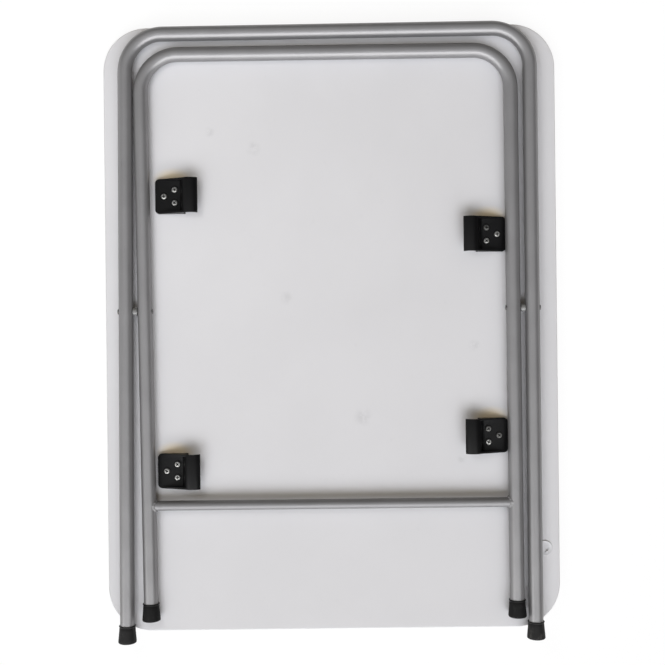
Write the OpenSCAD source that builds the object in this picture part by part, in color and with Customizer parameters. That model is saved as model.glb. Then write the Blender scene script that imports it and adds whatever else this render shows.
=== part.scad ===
// Folding table, nominally 600 x 800 mm, packed flat: a hollow moulded top lying on its working
// face, with the crossed-leg stand folded shut on its underside.
// In use the stand is lifted off, opened like scissors, turned a quarter turn and pushed
// into the four hooks by its two crossbars.
//
// Row frame: origin at the centre of the working face, +Z up towards the underside,
// +Y along the legs towards the crossbars, +X across the legs. Millimetres.

/* [Tabletop] */
// Width of the tabletop, across the legs
top_w = 602; // [590:1:680]
// Length of the tabletop, along the legs
top_l = 804; // [780:1:900]
// Thickness of the tabletop
top_t = 25; // [20:0.5:40]
// Corner radius of the tabletop, seen from above
top_corner_r = 58; // [30:1:80]
// Rounding of the tabletop's two rims
top_rim_r = 2; // [1:0.5:6]
// Wall of the hollow moulding
top_skin = 3; // [2:0.5:5]
// Thickness of the ribs inside the moulding
rib_t = 2.5; // [1.5:0.5:5]
// Number of ribs along the inside of the moulding
rib_count = 5; // [2:1:9]
// Room left between the ends of the ribs and the moulding's end walls
rib_end_gap = 70; // [40:1:120]

/* [Moulding plug] */
// Diameter of the plug's face
plug_d = 20; // [17:0.5:24]
// Height of the plug's face above the underside
plug_face_h = 1.2; // [1:0.1:1.6]
// Diameter of the plug's stem in the blow hole
plug_stem_d = 14; // [10:0.5:15]
// Length of the plug's stem
plug_stem_l = 9; // [5:0.5:12]
// Clearance between the plug's stem and its hole, on the radius
plug_clear = 0.05; // [0.02:0.01:0.1]
// Diameter of the recess in the plug's face
plug_recess_d = 10; // [6:0.5:12]
// Depth of the recess in the plug's face
plug_recess_depth = 0.8; // [0.3:0.1:0.8]
// Distance from the plug's centre to the tabletop's nearer long edge
plug_edge_gap = 20; // [17:0.5:24]
// Distance from the plug's centre to the tabletop's foot end
plug_end_gap = 105; // [80:1:140]

/* [Stand tubes] */
// Outer diameter of the leg tube
tube_d = 19; // [17:0.5:20]
// Wall of the leg tube
tube_wall = 1.2; // [0.8:0.1:2]
// Centre radius of the bends
bend_r = 50; // [40:1:60]
// How much thicker the tube is in its bends, where bending swells it
bend_swell = 0.1; // [0.05:0.01:0.2]
// Distance from the tabletop's long edges to the centres of the outer legs of a centred stand
leg_edge_gap = 32.75; // [28:0.25:35]
// Gap between an outer leg and the inner leg beside it
leg_gap = 6.1; // [5:0.1:8]
// Outer diameter of the stretcher
stretcher_d = 13; // [10:0.5:16]
// Wall of the stretcher
stretcher_wall = 1; // [0.8:0.1:1.5]
// Reach of the weld fillet up the stretcher and the leg
weld_leg = 2; // [1.5:0.1:3.5]

/* [Stand lengths from the pivot] */
// Pivot to the middle of the outer crossbar
outer_arm = 367.5; // [360:0.5:380]
// Pivot to the middle of the inner crossbar
inner_arm = 339.5; // [330:0.5:344]
// Pivot to the sole of the outer feet
outer_leg = 436.5; // [425:0.5:460]
// How much longer the inner legs are than a dead level top needs
inner_leg_extra = 3; // [0:0.5:4]
// Pivot to the middle of the stretcher
stretcher_arm = 256.5; // [250:0.5:290]
// How far the pivot lies from the tabletop's middle
pivot_y = 23.5; // [15:0.5:35]
// How far the stand lies off the tabletop's middle line
stand_x = -3; // [-4:0.5:4]

/* [Lean of the legs and crossbars in their frame] */
// The bends aren't quite square. Lean of the outer left leg, foot outwards, in degrees
outer_left_lean = 0.35; // [-0.2:0.05:0.5]
// Lean of the outer right leg, foot outwards, in degrees
outer_right_lean = 0.05; // [-0.2:0.05:0.5]
// Lean of the inner left leg, foot outwards, in degrees
inner_left_lean = -0.6; // [-0.65:0.05:0.2]
// Lean of the inner right leg, foot outwards, in degrees
inner_right_lean = 0.15; // [-0.5:0.05:0.2]
// Lean of the outer crossbar, right end away from the feet, in degrees
outer_bar_lean = 0.4; // [-0.4:0.05:0.5]
// Lean of the inner crossbar, right end away from the feet, in degrees
inner_bar_lean = 0.2; // [-0.4:0.05:0.5]

/* [Pivots] */
// Shank diameter of the pivot rivets
rivet_d = 6; // [5:0.5:8]
// Running clearance of the rivets, on the radius
rivet_clear = 0.08; // [0.03:0.01:0.1]
// Diameter of the rivets' factory heads, outside
rivet_head_d = 8; // [7.5:0.5:12]
// Height of the rivets' factory heads
rivet_head_h = 1.4; // [1:0.1:3]
// Diameter of the rivets' clenched heads, inside
rivet_tail_d = 7.5; // [7:0.5:11]
// Height of the rivets' clenched heads
rivet_tail_h = 1; // [0.8:0.1:3]
// Outer diameter of the spacer between the legs
spacer_d = 11; // [9:0.5:14]
// Play at each face that slides on a tube
slide_gap = 0.3; // [0.2:0.05:0.5]

/* [Feet] */
// Diameter of a foot cap at its mouth
foot_mouth_d = 21.8; // [21.6:0.1:23]
// Diameter of a foot cap at its sole
foot_sole_d = 24; // [23:0.1:24.5]
// Height of a foot cap
foot_h = 23; // [16:0.5:30]
// Thickness of a foot cap's sole
foot_sole_t = 4; // [2:0.5:6]
// Rounding of a foot cap's sole edge
foot_edge_r = 1.6; // [0.5:0.1:2.5]
// Clearance between a foot cap and its tube, on the radius
foot_clear = 0.05; // [0.02:0.01:0.2]
// Gap between the feet of the folded stand and the underside
rest_gap = 0.3; // [0.2:0.05:0.6]

/* [Hooks] */
// Length of a hook along its bar
hook_l = 46; // [36:1:54]
// Length of a hook's screw plate, from its outer edge to the hook's back
plate_l = 35.4; // [32:0.1:36]
// Thickness of a hook's screw plate
plate_t = 4; // [3:0.5:4.5]
// Corner radius of a hook's screw plate
plate_corner_r = 4.5; // [2:0.5:8]
// Radius of the fillet between a hook's screw plate and its back
hook_fillet = 5; // [0.5:0.5:5]
// Thickness of the two side walls that brace a hook's back on its plate
gusset_t = 2.5; // [2:0.5:3.5]
// Angle round the arch at which the side walls' sloping edge meets it
gusset_meet = 135; // [125:1:150]
// Wall of the hook over the bar
hook_wall = 2.5; // [2:0.1:3.5]
// Clearance between the hook's channel and the bar, on the radius
channel_clear = 0.3; // [0.1:0.05:0.6]
// Angle above level at which the hook's lip ends, at its mouth
lip_angle = 36; // [30:1:60]
// Angle below level at which the hook's back ends, at its root
root_angle = 35; // [20:1:45]
// Gap, seen from above, between the screw plates and the inner legs of a centred stand
hook_leg_gap = 0.95; // [0.9:0.05:4]
// Distance between the middles of the two hooks for the outer crossbar
wide_spacing = 364.5; // [340:0.5:380]
// Distance between the middles of the two hooks for the inner crossbar
narrow_spacing = 267; // [240:0.5:300]
// How far the outer crossbar's hooks lie off the tabletop's middle
wide_shift = -6; // [-15:0.5:15]
// How far the inner crossbar's hooks lie off the tabletop's middle
narrow_shift = -12; // [-15:0.5:15]

/* [Hook screws] */
// Head diameter
screw_head_d = 8; // [6.5:0.1:9]
// Head height
screw_head_h = 2.8; // [2:0.1:3.5]
// Shank diameter
screw_d = 3.9; // [3:0.1:4.5]
// Length under the head
screw_l = 16; // [12:0.5:18]
// Clearance between a screw's shank and the moulded post, on the radius
screw_clear = 0.05; // [0.02:0.01:0.1]
// Clearance between a screw's shank and the screw plate, on the radius
plate_hole_clear = 0.35; // [0.2:0.05:0.6]
// Width across the arms of the cross recess
recess_w = 3.8; // [3:0.1:5]
// Width of one arm of the cross recess
recess_arm = 1.1; // [0.8:0.1:1.5]
// Depth of the cross recess
recess_depth = 1.7; // [1:0.1:2]
// From the hook's back to the pair of screws
pair_inset = 9.3; // [9:0.1:12]
// Distance between the screws of the pair
pair_spacing = 17.6; // [12:0.1:24]
// From the hook's back to the single screw
single_inset = 23.5; // [21:0.1:26]

/* [Hidden] */

// Facets of round faces; the bends, caps and bars are all true surfaces.
$fn = 64;
// Overshoot of cutting tools.
eps = 1;

// --- Derived sizes -------------------------------------------------------------------
tube_r = tube_d / 2;
// How far the straight lengths of a frame run into its bends
bend_lap = 0.5;
leg_pitch = tube_d + leg_gap;
// Distances between the centres of the outer legs, and of the inner legs, at the pivot
outer_span = top_w - 2 * leg_edge_gap;
inner_span = outer_span - 2 * leg_pitch;
outer_leans = [outer_left_lean, outer_right_lean];
inner_leans = [inner_left_lean, inner_right_lean];
// A leg's lean, and how far out its centre is at a given distance above the pivot;
// side is -1 for a frame's left leg and +1 for its right leg.
function leg_lean(leans, side) = leans[(side + 1) / 2];
function leg_x(span, leans, side, y) = side * (span / 2 - y * tan(leg_lean(leans, side)));
// Height of the folded stand's tube centres above the working face
stand_z = top_t + rest_gap + foot_sole_d / 2;
pivot = [stand_x, pivot_y, stand_z];

// A hook's channel: its radius, and where its centre lies from the plate's outer edge
channel_r = tube_r + channel_clear;
hook_r = channel_r + hook_wall;
channel_u = plate_l + hook_r;
// Height of the channel's centre above the underside
channel_w = channel_r;
// Outer edge of the screw plates, and the channel centres, from the tabletop's middle
plate_edge_x = inner_span / 2 - tube_r - hook_leg_gap;
channel_x = plate_edge_x - channel_u;

// The open stand: the pivot and the two channels make a triangle, whose corner angles
// give the slope of the legs, and the opening angle at the pivot.
bar_spread = 2 * channel_x;
function corner_angle(a, b, opposite) = acos((a * a + b * b - opposite * opposite) / (2 * a * b));
outer_slope = corner_angle(outer_arm, bar_spread, inner_arm);
inner_slope = corner_angle(inner_arm, bar_spread, outer_arm);
// The inner legs end where all four soles' edges would stand on one level floor, but for
// the little that they are longer.
foot_sole_r = foot_sole_d / 2;
inner_leg = inner_leg_extra + (outer_leg * sin(outer_slope) + foot_sole_r * cos(outer_slope)
  - foot_sole_r * cos(inner_slope)) / sin(inner_slope);

// Screw places on a hook, as [distance from the plate's outer edge, along the bar]
screw_places = [
  [plate_l - pair_inset, pair_spacing / 2],
  [plate_l - pair_inset, -pair_spacing / 2],
  [plate_l - single_inset, 0]
];
// Posts in the moulding that the screws bite in
post_wall = 2.5;
post_d = screw_d + 2 * post_wall;
screw_bite = screw_l - plate_t;

// Hook places as [side, y]: side -1 holds the outer crossbar, +1 the inner one.
hook_places = [
  [-1, wide_shift + wide_spacing / 2],
  [-1, wide_shift - wide_spacing / 2],
  [1, narrow_shift + narrow_spacing / 2],
  [1, narrow_shift - narrow_spacing / 2]
];

// --- Colours -------------------------------------------------------------------------
white_plastic = [0.86, 0.86, 0.87];
silver_paint = [0.56, 0.56, 0.58];
black_plastic = [0.06, 0.06, 0.065];
black_rubber = [0.10, 0.10, 0.10];
zinc_steel = [0.74, 0.74, 0.72];
nylon = [0.80, 0.80, 0.78];

// --- Shared shapes -------------------------------------------------------------------

// Half section of a slab's rim: from the axis out to r, with both outer edges rounded.
module rim_section(r, height, edge) {
  steps = 8;
  function arc(cy, from) =
    [for (i = [0:steps]) [r - edge + edge * cos(from + 90 * i / steps),
                          cy + edge * sin(from + 90 * i / steps)]];
  polygon(concat([[0, 0]], arc(edge, -90), arc(height - edge, 0), [[0, height]]));
}

// Flat slab centred on Z with round corners and rounded rims, standing on z = 0.
module rounded_slab(w, l, height, corner, edge) {
  inner_w = w - 2 * corner;
  inner_l = l - 2 * corner;
  translate([-inner_w / 2, -inner_l / 2, 0]) cube([inner_w, inner_l, height]);
  for (turn = [0, 180]) rotate([0, 0, turn]) {
    translate([inner_w / 2, inner_l / 2, 0]) rotate([90, 0, 0])
      linear_extrude(inner_l) rim_section(corner, height, edge);
    translate([-inner_w / 2, inner_l / 2, 0]) rotate([90, 0, 90])
      linear_extrude(inner_w) rim_section(corner, height, edge);
    translate([inner_w / 2, inner_l / 2, 0])
      rotate_extrude(angle = 90) rim_section(corner, height, edge);
    translate([-inner_w / 2, inner_l / 2, 0]) rotate([0, 0, 90])
      rotate_extrude(angle = 90) rim_section(corner, height, edge);
  }
}

// Puts what is drawn in a hook's own frame (u inwards from the plate's outer edge,
// v along the bar, w up from the underside) in its place on the tabletop.
module at_hook(place) {
  side = place[0];
  translate([side * plate_edge_x, place[1], top_t])
    rotate([0, 0, side > 0 ? 180 : 0]) children();
}

// Puts what is drawn along the Y axis on one leg of a frame, with the pivot at y = 0.
module at_leg(span, leans, side) {
  translate([side * span / 2, 0, 0]) rotate([0, 0, side * leg_lean(leans, side)]) children();
}

// Solid rod along a U: two legs and a crossbar, each leaning a little, joined by two bends.
// The crossbar's middle is at y = arm, and the legs end at a distance leg below the pivot.
// The straight lengths run a little way into the bends, which are a touch thicker.
module u_rod(span, leans, bar_lean, arm, leg, d) {
  // centre of a bend, and the distance along its leg from the pivot to where it starts
  function bend_x(lean, side) = (span / 2 - bend_r / cos(lean)
    - tan(lean) * (arm - bend_r / cos(bar_lean))) / (1 + side * tan(lean) * tan(bar_lean));
  function bend_y(lean, side) =
    arm - bend_r / cos(bar_lean) + side * bend_x(lean, side) * tan(bar_lean);
  function bend_start(lean, side) = cos(lean) * (bend_y(lean, side) + bend_r * sin(lean))
    - sin(lean) * (bend_x(lean, side) + bend_r * cos(lean) - span / 2);
  translate([-bend_x(leans[0], -1), bend_y(leans[0], -1), 0]) rotate([0, 0, bar_lean])
    translate([-bend_lap, bend_r, 0]) rotate([0, 90, 0]) cylinder(d = d,
      h = (bend_x(leans[0], -1) + bend_x(leans[1], 1)) / cos(bar_lean) + 2 * bend_lap);
  for (side = [-1, 1]) {
    lean = leg_lean(leans, side);
    start = bend_start(lean, side);
    translate([side * bend_x(lean, side), bend_y(lean, side), 0])
      rotate([0, 0, side > 0 ? lean : 90 + bar_lean])
        rotate_extrude(angle = 90 - lean + side * bar_lean)
          translate([bend_r, 0]) circle(d = d + bend_swell);
    at_leg(span, leans, side) translate([0, start + bend_lap, 0]) rotate([90, 0, 0])
      cylinder(d = d, h = start + bend_lap + leg);
  }
}

// Bent tube with the pivot holes drilled through both legs, about the pivot.
module u_tube(span, leans, bar_lean, arm, tube_end) {
  difference() {
    u_rod(span, leans, bar_lean, arm, tube_end, tube_d);
    u_rod(span, leans, bar_lean, arm, tube_end + eps, tube_d - 2 * tube_wall);
    rotate([0, 90, 0])
      cylinder(r = rivet_d / 2 + rivet_clear, h = span + 2 * tube_d, center = true);
  }
}

// Foot cap on a tube that runs along -Y, with its sole at y = -leg.
module foot_cap(leg) {
  socket_h = foot_h - foot_sole_t;
  steps = 6;
  mouth_r = foot_mouth_d / 2;
  mouth_bevel = 0.6;
  sole_edge = [for (i = [0:steps])
    [foot_sole_r - foot_edge_r + foot_edge_r * cos(-90 + 90 * i / steps),
     foot_edge_r + foot_edge_r * sin(-90 + 90 * i / steps)]];
  translate([0, -leg, 0]) rotate([-90, 0, 0]) difference() {
    rotate_extrude()
      polygon(concat([[0, 0]], sole_edge, [[mouth_r, foot_h - mouth_bevel],
                                          [mouth_r - mouth_bevel, foot_h], [0, foot_h]]));
    translate([0, 0, foot_sole_t]) cylinder(r = tube_r + foot_clear, h = socket_h + eps);
  }
}

// Low dome of a given diameter and height, standing on z = 0.
module dome(d, height) {
  ball_r = (d * d / 4 + height * height) / (2 * height);
  intersection() {
    translate([0, 0, height - ball_r]) sphere(r = ball_r);
    cylinder(d = d, h = height + eps);
  }
}

// Rivet through an outer and an inner leg, and the spacer between them.
// side is -1 for the left pair of legs and +1 for the right pair.
module rivet(side) {
  outer_face = outer_span / 2 + tube_r + slide_gap;
  inner_face = inner_span / 2 - tube_r - slide_gap;
  translate(pivot) rotate([0, side * 90, 0]) {
    translate([0, 0, inner_face]) cylinder(d = rivet_d, h = outer_face - inner_face);
    translate([0, 0, outer_face]) dome(rivet_head_d, rivet_head_h);
    translate([0, 0, inner_face]) mirror([0, 0, 1]) dome(rivet_tail_d, rivet_tail_h);
  }
}

module spacer(side) {
  length = leg_gap - 2 * slide_gap;
  middle = (outer_span + inner_span) / 4;
  translate(pivot) translate([side * middle, 0, 0]) rotate([0, 90, 0]) difference() {
    cylinder(d = spacer_d, h = length, center = true);
    cylinder(r = rivet_d / 2 + rivet_clear, h = length + eps, center = true);
  }
}

// Weld fillet where the stretcher meets one inner leg.
module weld(side) {
  root_r = stretcher_d / 2;
  // How far the leg's round side falls back over the stretcher's width
  fall = tube_r - sqrt(tube_r * tube_r - root_r * root_r);
  translate(pivot) difference() {
    translate([leg_x(inner_span, inner_leans, side, -stretcher_arm), -stretcher_arm, 0])
      rotate([0, -side * 90, 0]) difference() {
        translate([0, 0, tube_r - fall])
          cylinder(r1 = root_r + weld_leg, r2 = root_r, h = fall + weld_leg);
        cylinder(d = stretcher_d, h = 2 * tube_d);
      }
    at_leg(inner_span, inner_leans, side) translate([0, -stretcher_arm, 0])
      rotate([90, 0, 0]) cylinder(d = tube_d, h = 3 * stretcher_d, center = true);
  }
}

// Where the side walls' sloping edge meets a circle round the bar, seen along the bar
function arch_point(r) = [channel_u + r * cos(gusset_meet), channel_w + r * sin(gusset_meet)];

// One hook: screw plate, side walls, back wall and the arch over the bar, open to the
// table's centre.
module hook() {
  lip_r = channel_r + hook_wall / 2;
  root_u = channel_u - channel_r * cos(root_angle);
  difference() {
    union() {
      translate([0, -hook_l / 2, 0]) cube([plate_l + hook_wall, hook_l, plate_t]);
      translate([plate_l, -hook_l / 2, 0]) cube([hook_r, hook_l, channel_w]);
      // the fillet between the plate and the back
      translate([plate_l - hook_fillet, -hook_l / 2, plate_t]) difference() {
        cube([hook_fillet + hook_wall / 2, hook_l, hook_fillet]);
        translate([0, -eps, hook_fillet]) rotate([-90, 0, 0])
          cylinder(r = hook_fillet, h = hook_l + 2 * eps);
      }
      // the side walls, which slope from the plate's corners up to the arch
      for (start = [-hook_l / 2, hook_l / 2 - gusset_t])
        translate([0, start + gusset_t, 0]) rotate([90, 0, 0]) linear_extrude(gusset_t)
          polygon([[plate_corner_r, plate_t / 2], [plate_l + hook_wall / 2, plate_t / 2],
                   [plate_l + hook_wall / 2, channel_w], arch_point(lip_r), arch_point(hook_r),
                   [plate_corner_r, plate_t]]);
      translate([channel_u, hook_l / 2, channel_w]) rotate([90, 0, 0]) {
        difference() {
          cylinder(r = hook_r, h = hook_l);
          // the mouth, below the lip
          translate([0, 0, -eps]) linear_extrude(hook_l + 2 * eps)
            polygon([[0, 0], 2 * hook_r * [cos(lip_angle), sin(lip_angle)],
                     [2 * hook_r, 0], [2 * hook_r, -2 * hook_r], [-2 * hook_r, -2 * hook_r],
                     [-2 * hook_r, 0]]);
        }
        // the lip's round nose
        translate(lip_r * [cos(lip_angle), sin(lip_angle)])
          cylinder(d = hook_wall, h = hook_l);
      }
    }
    // the channel for the bar, and the open bottom under it
    translate([channel_u, hook_l / 2 + eps, channel_w]) rotate([90, 0, 0])
      cylinder(r = channel_r, h = hook_l + 2 * eps);
    translate([root_u, -hook_l / 2 - eps, -eps])
      cube([2 * hook_r, hook_l + 2 * eps, channel_w - channel_r * sin(root_angle) + eps]);
    // round corners of the screw plate
    for (end = [-1, 1]) scale([1, end, 1])
      translate([0, hook_l / 2 - plate_corner_r, -eps]) difference() {
        translate([-eps, 0, 0]) cube([plate_corner_r + eps, plate_corner_r + eps, plate_t + 2 * eps]);
        translate([plate_corner_r, 0, -eps]) cylinder(r = plate_corner_r, h = plate_t + 4 * eps);
      }
    for (place = screw_places) translate([place[0], place[1], -eps])
      cylinder(r = screw_d / 2 + plate_hole_clear, h = plate_t + 2 * eps);
  }
}

// Pan-head screw with a cross recess, its head standing on z = 0.
module screw() {
  difference() {
    dome(screw_head_d, screw_head_h);
    for (turn = [0, 90]) rotate([0, 0, turn])
      translate([-recess_w / 2, -recess_arm / 2, screw_head_h - recess_depth])
        cube([recess_w, recess_arm, recess_depth + eps]);
  }
  translate([0, 0, -screw_l]) cylinder(d = screw_d, h = screw_l);
}

// The three screws of one hook, turned by different amounts as if driven by hand.
module hook_screws(place) {
  color(zinc_steel) at_hook(place) for (i = [0:2])
    translate([screw_places[i][0], screw_places[i][1], plate_t])
      rotate([0, 0, 20 + 37 * i]) screw();
}

// --- Tabletop ------------------------------------------------------------------------

plug_place = [top_w / 2 - plug_edge_gap, plug_end_gap - top_l / 2];

module tabletop_panel() {
  cavity_w = top_w - 2 * top_skin;
  cavity_l = top_l - 2 * top_skin;
  cavity_t = top_t - 2 * top_skin;
  rib_pitch = cavity_w / (rib_count + 1);
  color(white_plastic) difference() {
    rounded_slab(top_w, top_l, top_t, top_corner_r, top_rim_r);
    difference() {
      translate([0, 0, top_skin])
        rounded_slab(cavity_w, cavity_l, cavity_t, top_corner_r - top_skin, top_rim_r / 4);
      for (i = [1:rib_count])
        translate([i * rib_pitch - cavity_w / 2 - rib_t / 2, rib_end_gap - cavity_l / 2, 0])
          cube([rib_t, cavity_l - 2 * rib_end_gap, top_t]);
      for (place = hook_places) at_hook(place) for (spot = screw_places)
        translate([spot[0], spot[1], -top_t]) cylinder(d = post_d, h = top_t);
    }
    for (place = hook_places) at_hook(place) for (spot = screw_places)
      translate([spot[0], spot[1], -screw_bite])
        cylinder(r = screw_d / 2 + screw_clear, h = screw_bite + eps);
    translate([plug_place[0], plug_place[1], top_t - top_skin - eps])
      cylinder(d = plug_stem_d, h = top_skin + 2 * eps);
  }
}

module mould_plug() {
  recess_r = plug_recess_d / 2;
  notch_w = plug_recess_d / 4;
  floor_h = plug_face_h - plug_recess_depth;
  color(white_plastic) translate([plug_place[0], plug_place[1], top_t]) difference() {
    union() {
      cylinder(r1 = plug_d / 2, r2 = plug_d / 2 - plug_face_h / 2, h = plug_face_h);
      translate([0, 0, -plug_stem_l]) cylinder(r = plug_stem_d / 2 - plug_clear, h = plug_stem_l);
    }
    translate([0, 0, floor_h]) cylinder(r = recess_r, h = plug_face_h);
    // two notches beside the recess, for the key that turns the plug home
    for (turn = [-110, -60]) rotate([0, 0, turn])
      translate([recess_r - eps, -notch_w / 2, floor_h])
        cube([eps + notch_w / 2, notch_w, plug_face_h]);
  }
}

module hook_wide_upper() { color(black_plastic) at_hook(hook_places[0]) hook(); }
module hook_wide_lower() { color(black_plastic) at_hook(hook_places[1]) hook(); }
module hook_narrow_upper() { color(black_plastic) at_hook(hook_places[2]) hook(); }
module hook_narrow_lower() { color(black_plastic) at_hook(hook_places[3]) hook(); }

module screws_wide_upper() { hook_screws(hook_places[0]); }
module screws_wide_lower() { hook_screws(hook_places[1]); }
module screws_narrow_upper() { hook_screws(hook_places[2]); }
module screws_narrow_lower() { hook_screws(hook_places[3]); }

// --- Stand ---------------------------------------------------------------------------

module pivot_rivet_left() { color(zinc_steel) rivet(-1); }
module pivot_rivet_right() { color(zinc_steel) rivet(1); }
module pivot_spacer_left() { color(nylon) spacer(-1); }
module pivot_spacer_right() { color(nylon) spacer(1); }

module outer_frame_tube() {
  color(silver_paint) translate(pivot)
    u_tube(outer_span, outer_leans, outer_bar_lean, outer_arm, outer_leg - foot_sole_t);
}
module inner_frame_tube() {
  color(silver_paint) translate(pivot)
    u_tube(inner_span, inner_leans, inner_bar_lean, inner_arm, inner_leg - foot_sole_t);
}

module inner_stretcher() {
  ends = [for (side = [-1, 1]) leg_x(inner_span, inner_leans, side, -stretcher_arm)];
  color(silver_paint) translate(pivot) difference() {
    translate([ends[0], -stretcher_arm, 0]) rotate([0, 90, 0])
      cylinder(d = stretcher_d, h = ends[1] - ends[0]);
    translate([ends[0] - eps, -stretcher_arm, 0]) rotate([0, 90, 0])
      cylinder(d = stretcher_d - 2 * stretcher_wall, h = ends[1] - ends[0] + 2 * eps);
    // ends coped to the legs
    for (side = [-1, 1]) at_leg(inner_span, inner_leans, side)
      translate([0, -stretcher_arm, 0]) rotate([90, 0, 0])
        cylinder(d = tube_d, h = 2 * stretcher_d, center = true);
  }
}
module stretcher_weld_left() { color(silver_paint) weld(-1); }
module stretcher_weld_right() { color(silver_paint) weld(1); }

module foot(side, span, leans, leg) {
  color(black_rubber) translate(pivot) at_leg(span, leans, side) foot_cap(leg);
}
module foot_outer_left() { foot(-1, outer_span, outer_leans, outer_leg); }
module foot_outer_right() { foot(1, outer_span, outer_leans, outer_leg); }
module foot_inner_left() { foot(-1, inner_span, inner_leans, inner_leg); }
module foot_inner_right() { foot(1, inner_span, inner_leans, inner_leg); }

tabletop_panel();
mould_plug();
hook_wide_upper();
hook_wide_lower();
hook_narrow_upper();
hook_narrow_lower();
screws_wide_upper();
screws_wide_lower();
screws_narrow_upper();
screws_narrow_lower();
pivot_rivet_left();
pivot_rivet_right();
pivot_spacer_left();
pivot_spacer_right();
outer_frame_tube();
foot_outer_left();
foot_outer_right();
inner_frame_tube();
inner_stretcher();
stretcher_weld_left();
stretcher_weld_right();
foot_inner_left();
foot_inner_right();
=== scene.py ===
"""A folding table packed flat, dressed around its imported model.

The hollow moulded top lies on its working face, and the folded stand of two bent tube
frames rests on its underside between the four bar hooks. Lengths are in millimetres in
the row frame, and become metres where a mesh, a lamp or the camera is made.
"""

import logging
import math
import random
from collections.abc import Iterable, Mapping, Sequence
from dataclasses import dataclass, field
from enum import Enum

import bmesh
import bpy
from mathutils import Matrix, Vector


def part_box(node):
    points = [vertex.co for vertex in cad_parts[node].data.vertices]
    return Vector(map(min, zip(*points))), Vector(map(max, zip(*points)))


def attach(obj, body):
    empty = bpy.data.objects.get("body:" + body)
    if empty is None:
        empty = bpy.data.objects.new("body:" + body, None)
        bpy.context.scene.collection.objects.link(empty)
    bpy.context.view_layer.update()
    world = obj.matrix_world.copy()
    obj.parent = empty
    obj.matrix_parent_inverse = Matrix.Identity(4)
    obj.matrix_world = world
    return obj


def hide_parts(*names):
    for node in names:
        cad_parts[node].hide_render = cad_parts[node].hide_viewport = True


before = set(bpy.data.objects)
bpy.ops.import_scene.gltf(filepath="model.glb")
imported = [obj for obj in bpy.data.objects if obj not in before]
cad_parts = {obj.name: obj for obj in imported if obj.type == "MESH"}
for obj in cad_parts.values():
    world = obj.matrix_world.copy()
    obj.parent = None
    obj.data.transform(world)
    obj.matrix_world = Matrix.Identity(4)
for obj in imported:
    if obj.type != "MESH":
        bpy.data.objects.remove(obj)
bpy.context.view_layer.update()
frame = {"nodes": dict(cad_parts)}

LOG = logging.getLogger("folding_table")

MM = 0.001  # Metres in a millimetre
TINY = 1e-6  # What counts as nothing
MICRO = 1e6  # Micrometres in a metre
OVERCUT = 1.0  # How far a cutting shape reaches past what it cuts
ROUND = 64  # Points round a circle
ARC_STEP = 6.0  # Degrees from one point of an arc to the next, at most
FINE_STEP = 22.5  # The same for the smallest roundings

TUBE_R = 9.5
BORE_R = 3.08
SOLE_R = 12.0
SOLE_T = 4.0

Color = tuple[float, float, float]
Point2 = tuple[float, float]
Station = tuple[Vector, Vector, float]


class Body(Enum):
    """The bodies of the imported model."""

    TABLETOP = "tabletop"
    STAND_PIVOT = "stand_pivot"
    OUTER_FRAME = "outer_frame"
    INNER_FRAME = "inner_frame"


class Slot(Enum):
    """The record's material slots."""

    WHITE_PLASTIC = "white_plastic"
    SILVER_PAINT = "silver_paint"
    BLACK_PLASTIC = "black_plastic"
    FOOT_RUBBER = "foot_rubber"
    ZINC_SCREW = "zinc_screw"
    RIVET_STEEL = "rivet_steel"
    NYLON = "nylon"


class Side(Enum):
    """Left or right half of the stand, as the sign of its X."""

    LEFT = -1
    RIGHT = 1


# --- Shader maths ---------------------------------------------------------------------


class Channel:
    """An output socket in a node tree; arithmetic on number sockets adds Math nodes."""

    def __init__(self, recipe: "Recipe", socket: bpy.types.NodeSocket | None) -> None:
        """Wraps a socket.

        Args:
            recipe: The recipe whose tree holds the socket.
            socket: The output socket, or None for a node that has none.
        """
        self.recipe = recipe
        self.socket = socket

    def _math(self, operation: str, *terms: "Channel | float") -> "Channel":
        """Adds one Math node and returns its result."""
        return self.recipe.node("ShaderNodeMath", {"operation": operation}, dict(enumerate(terms)))

    def __add__(self, other: "Channel | float") -> "Channel":
        """Adds two values."""
        return self._math("ADD", self, other)

    __radd__ = __add__

    def __sub__(self, other: "Channel | float") -> "Channel":
        """Subtracts a value from this one."""
        return self._math("SUBTRACT", self, other)

    def __rsub__(self, other: float) -> "Channel":
        """Subtracts this value from a number."""
        return self._math("SUBTRACT", other, self)

    def __mul__(self, other: "Channel | float") -> "Channel":
        """Multiplies two values."""
        return self._math("MULTIPLY", self, other)

    __rmul__ = __mul__

    def smooth(self, low: float, high: float) -> "Channel":
        """Runs smoothly between two limits of this value.

        Args:
            low: Where the result is 0; it may be the larger of the two.
            high: Where the result is 1.

        Returns:
            The result, from 0 to 1.
        """
        if low > high:
            return 1.0 - self.smooth(high, low)
        sockets = {"Value": self, "From Min": low, "From Max": high}
        return self.recipe.node("ShaderNodeMapRange", {"interpolation_type": "SMOOTHSTEP"}, sockets)


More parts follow.
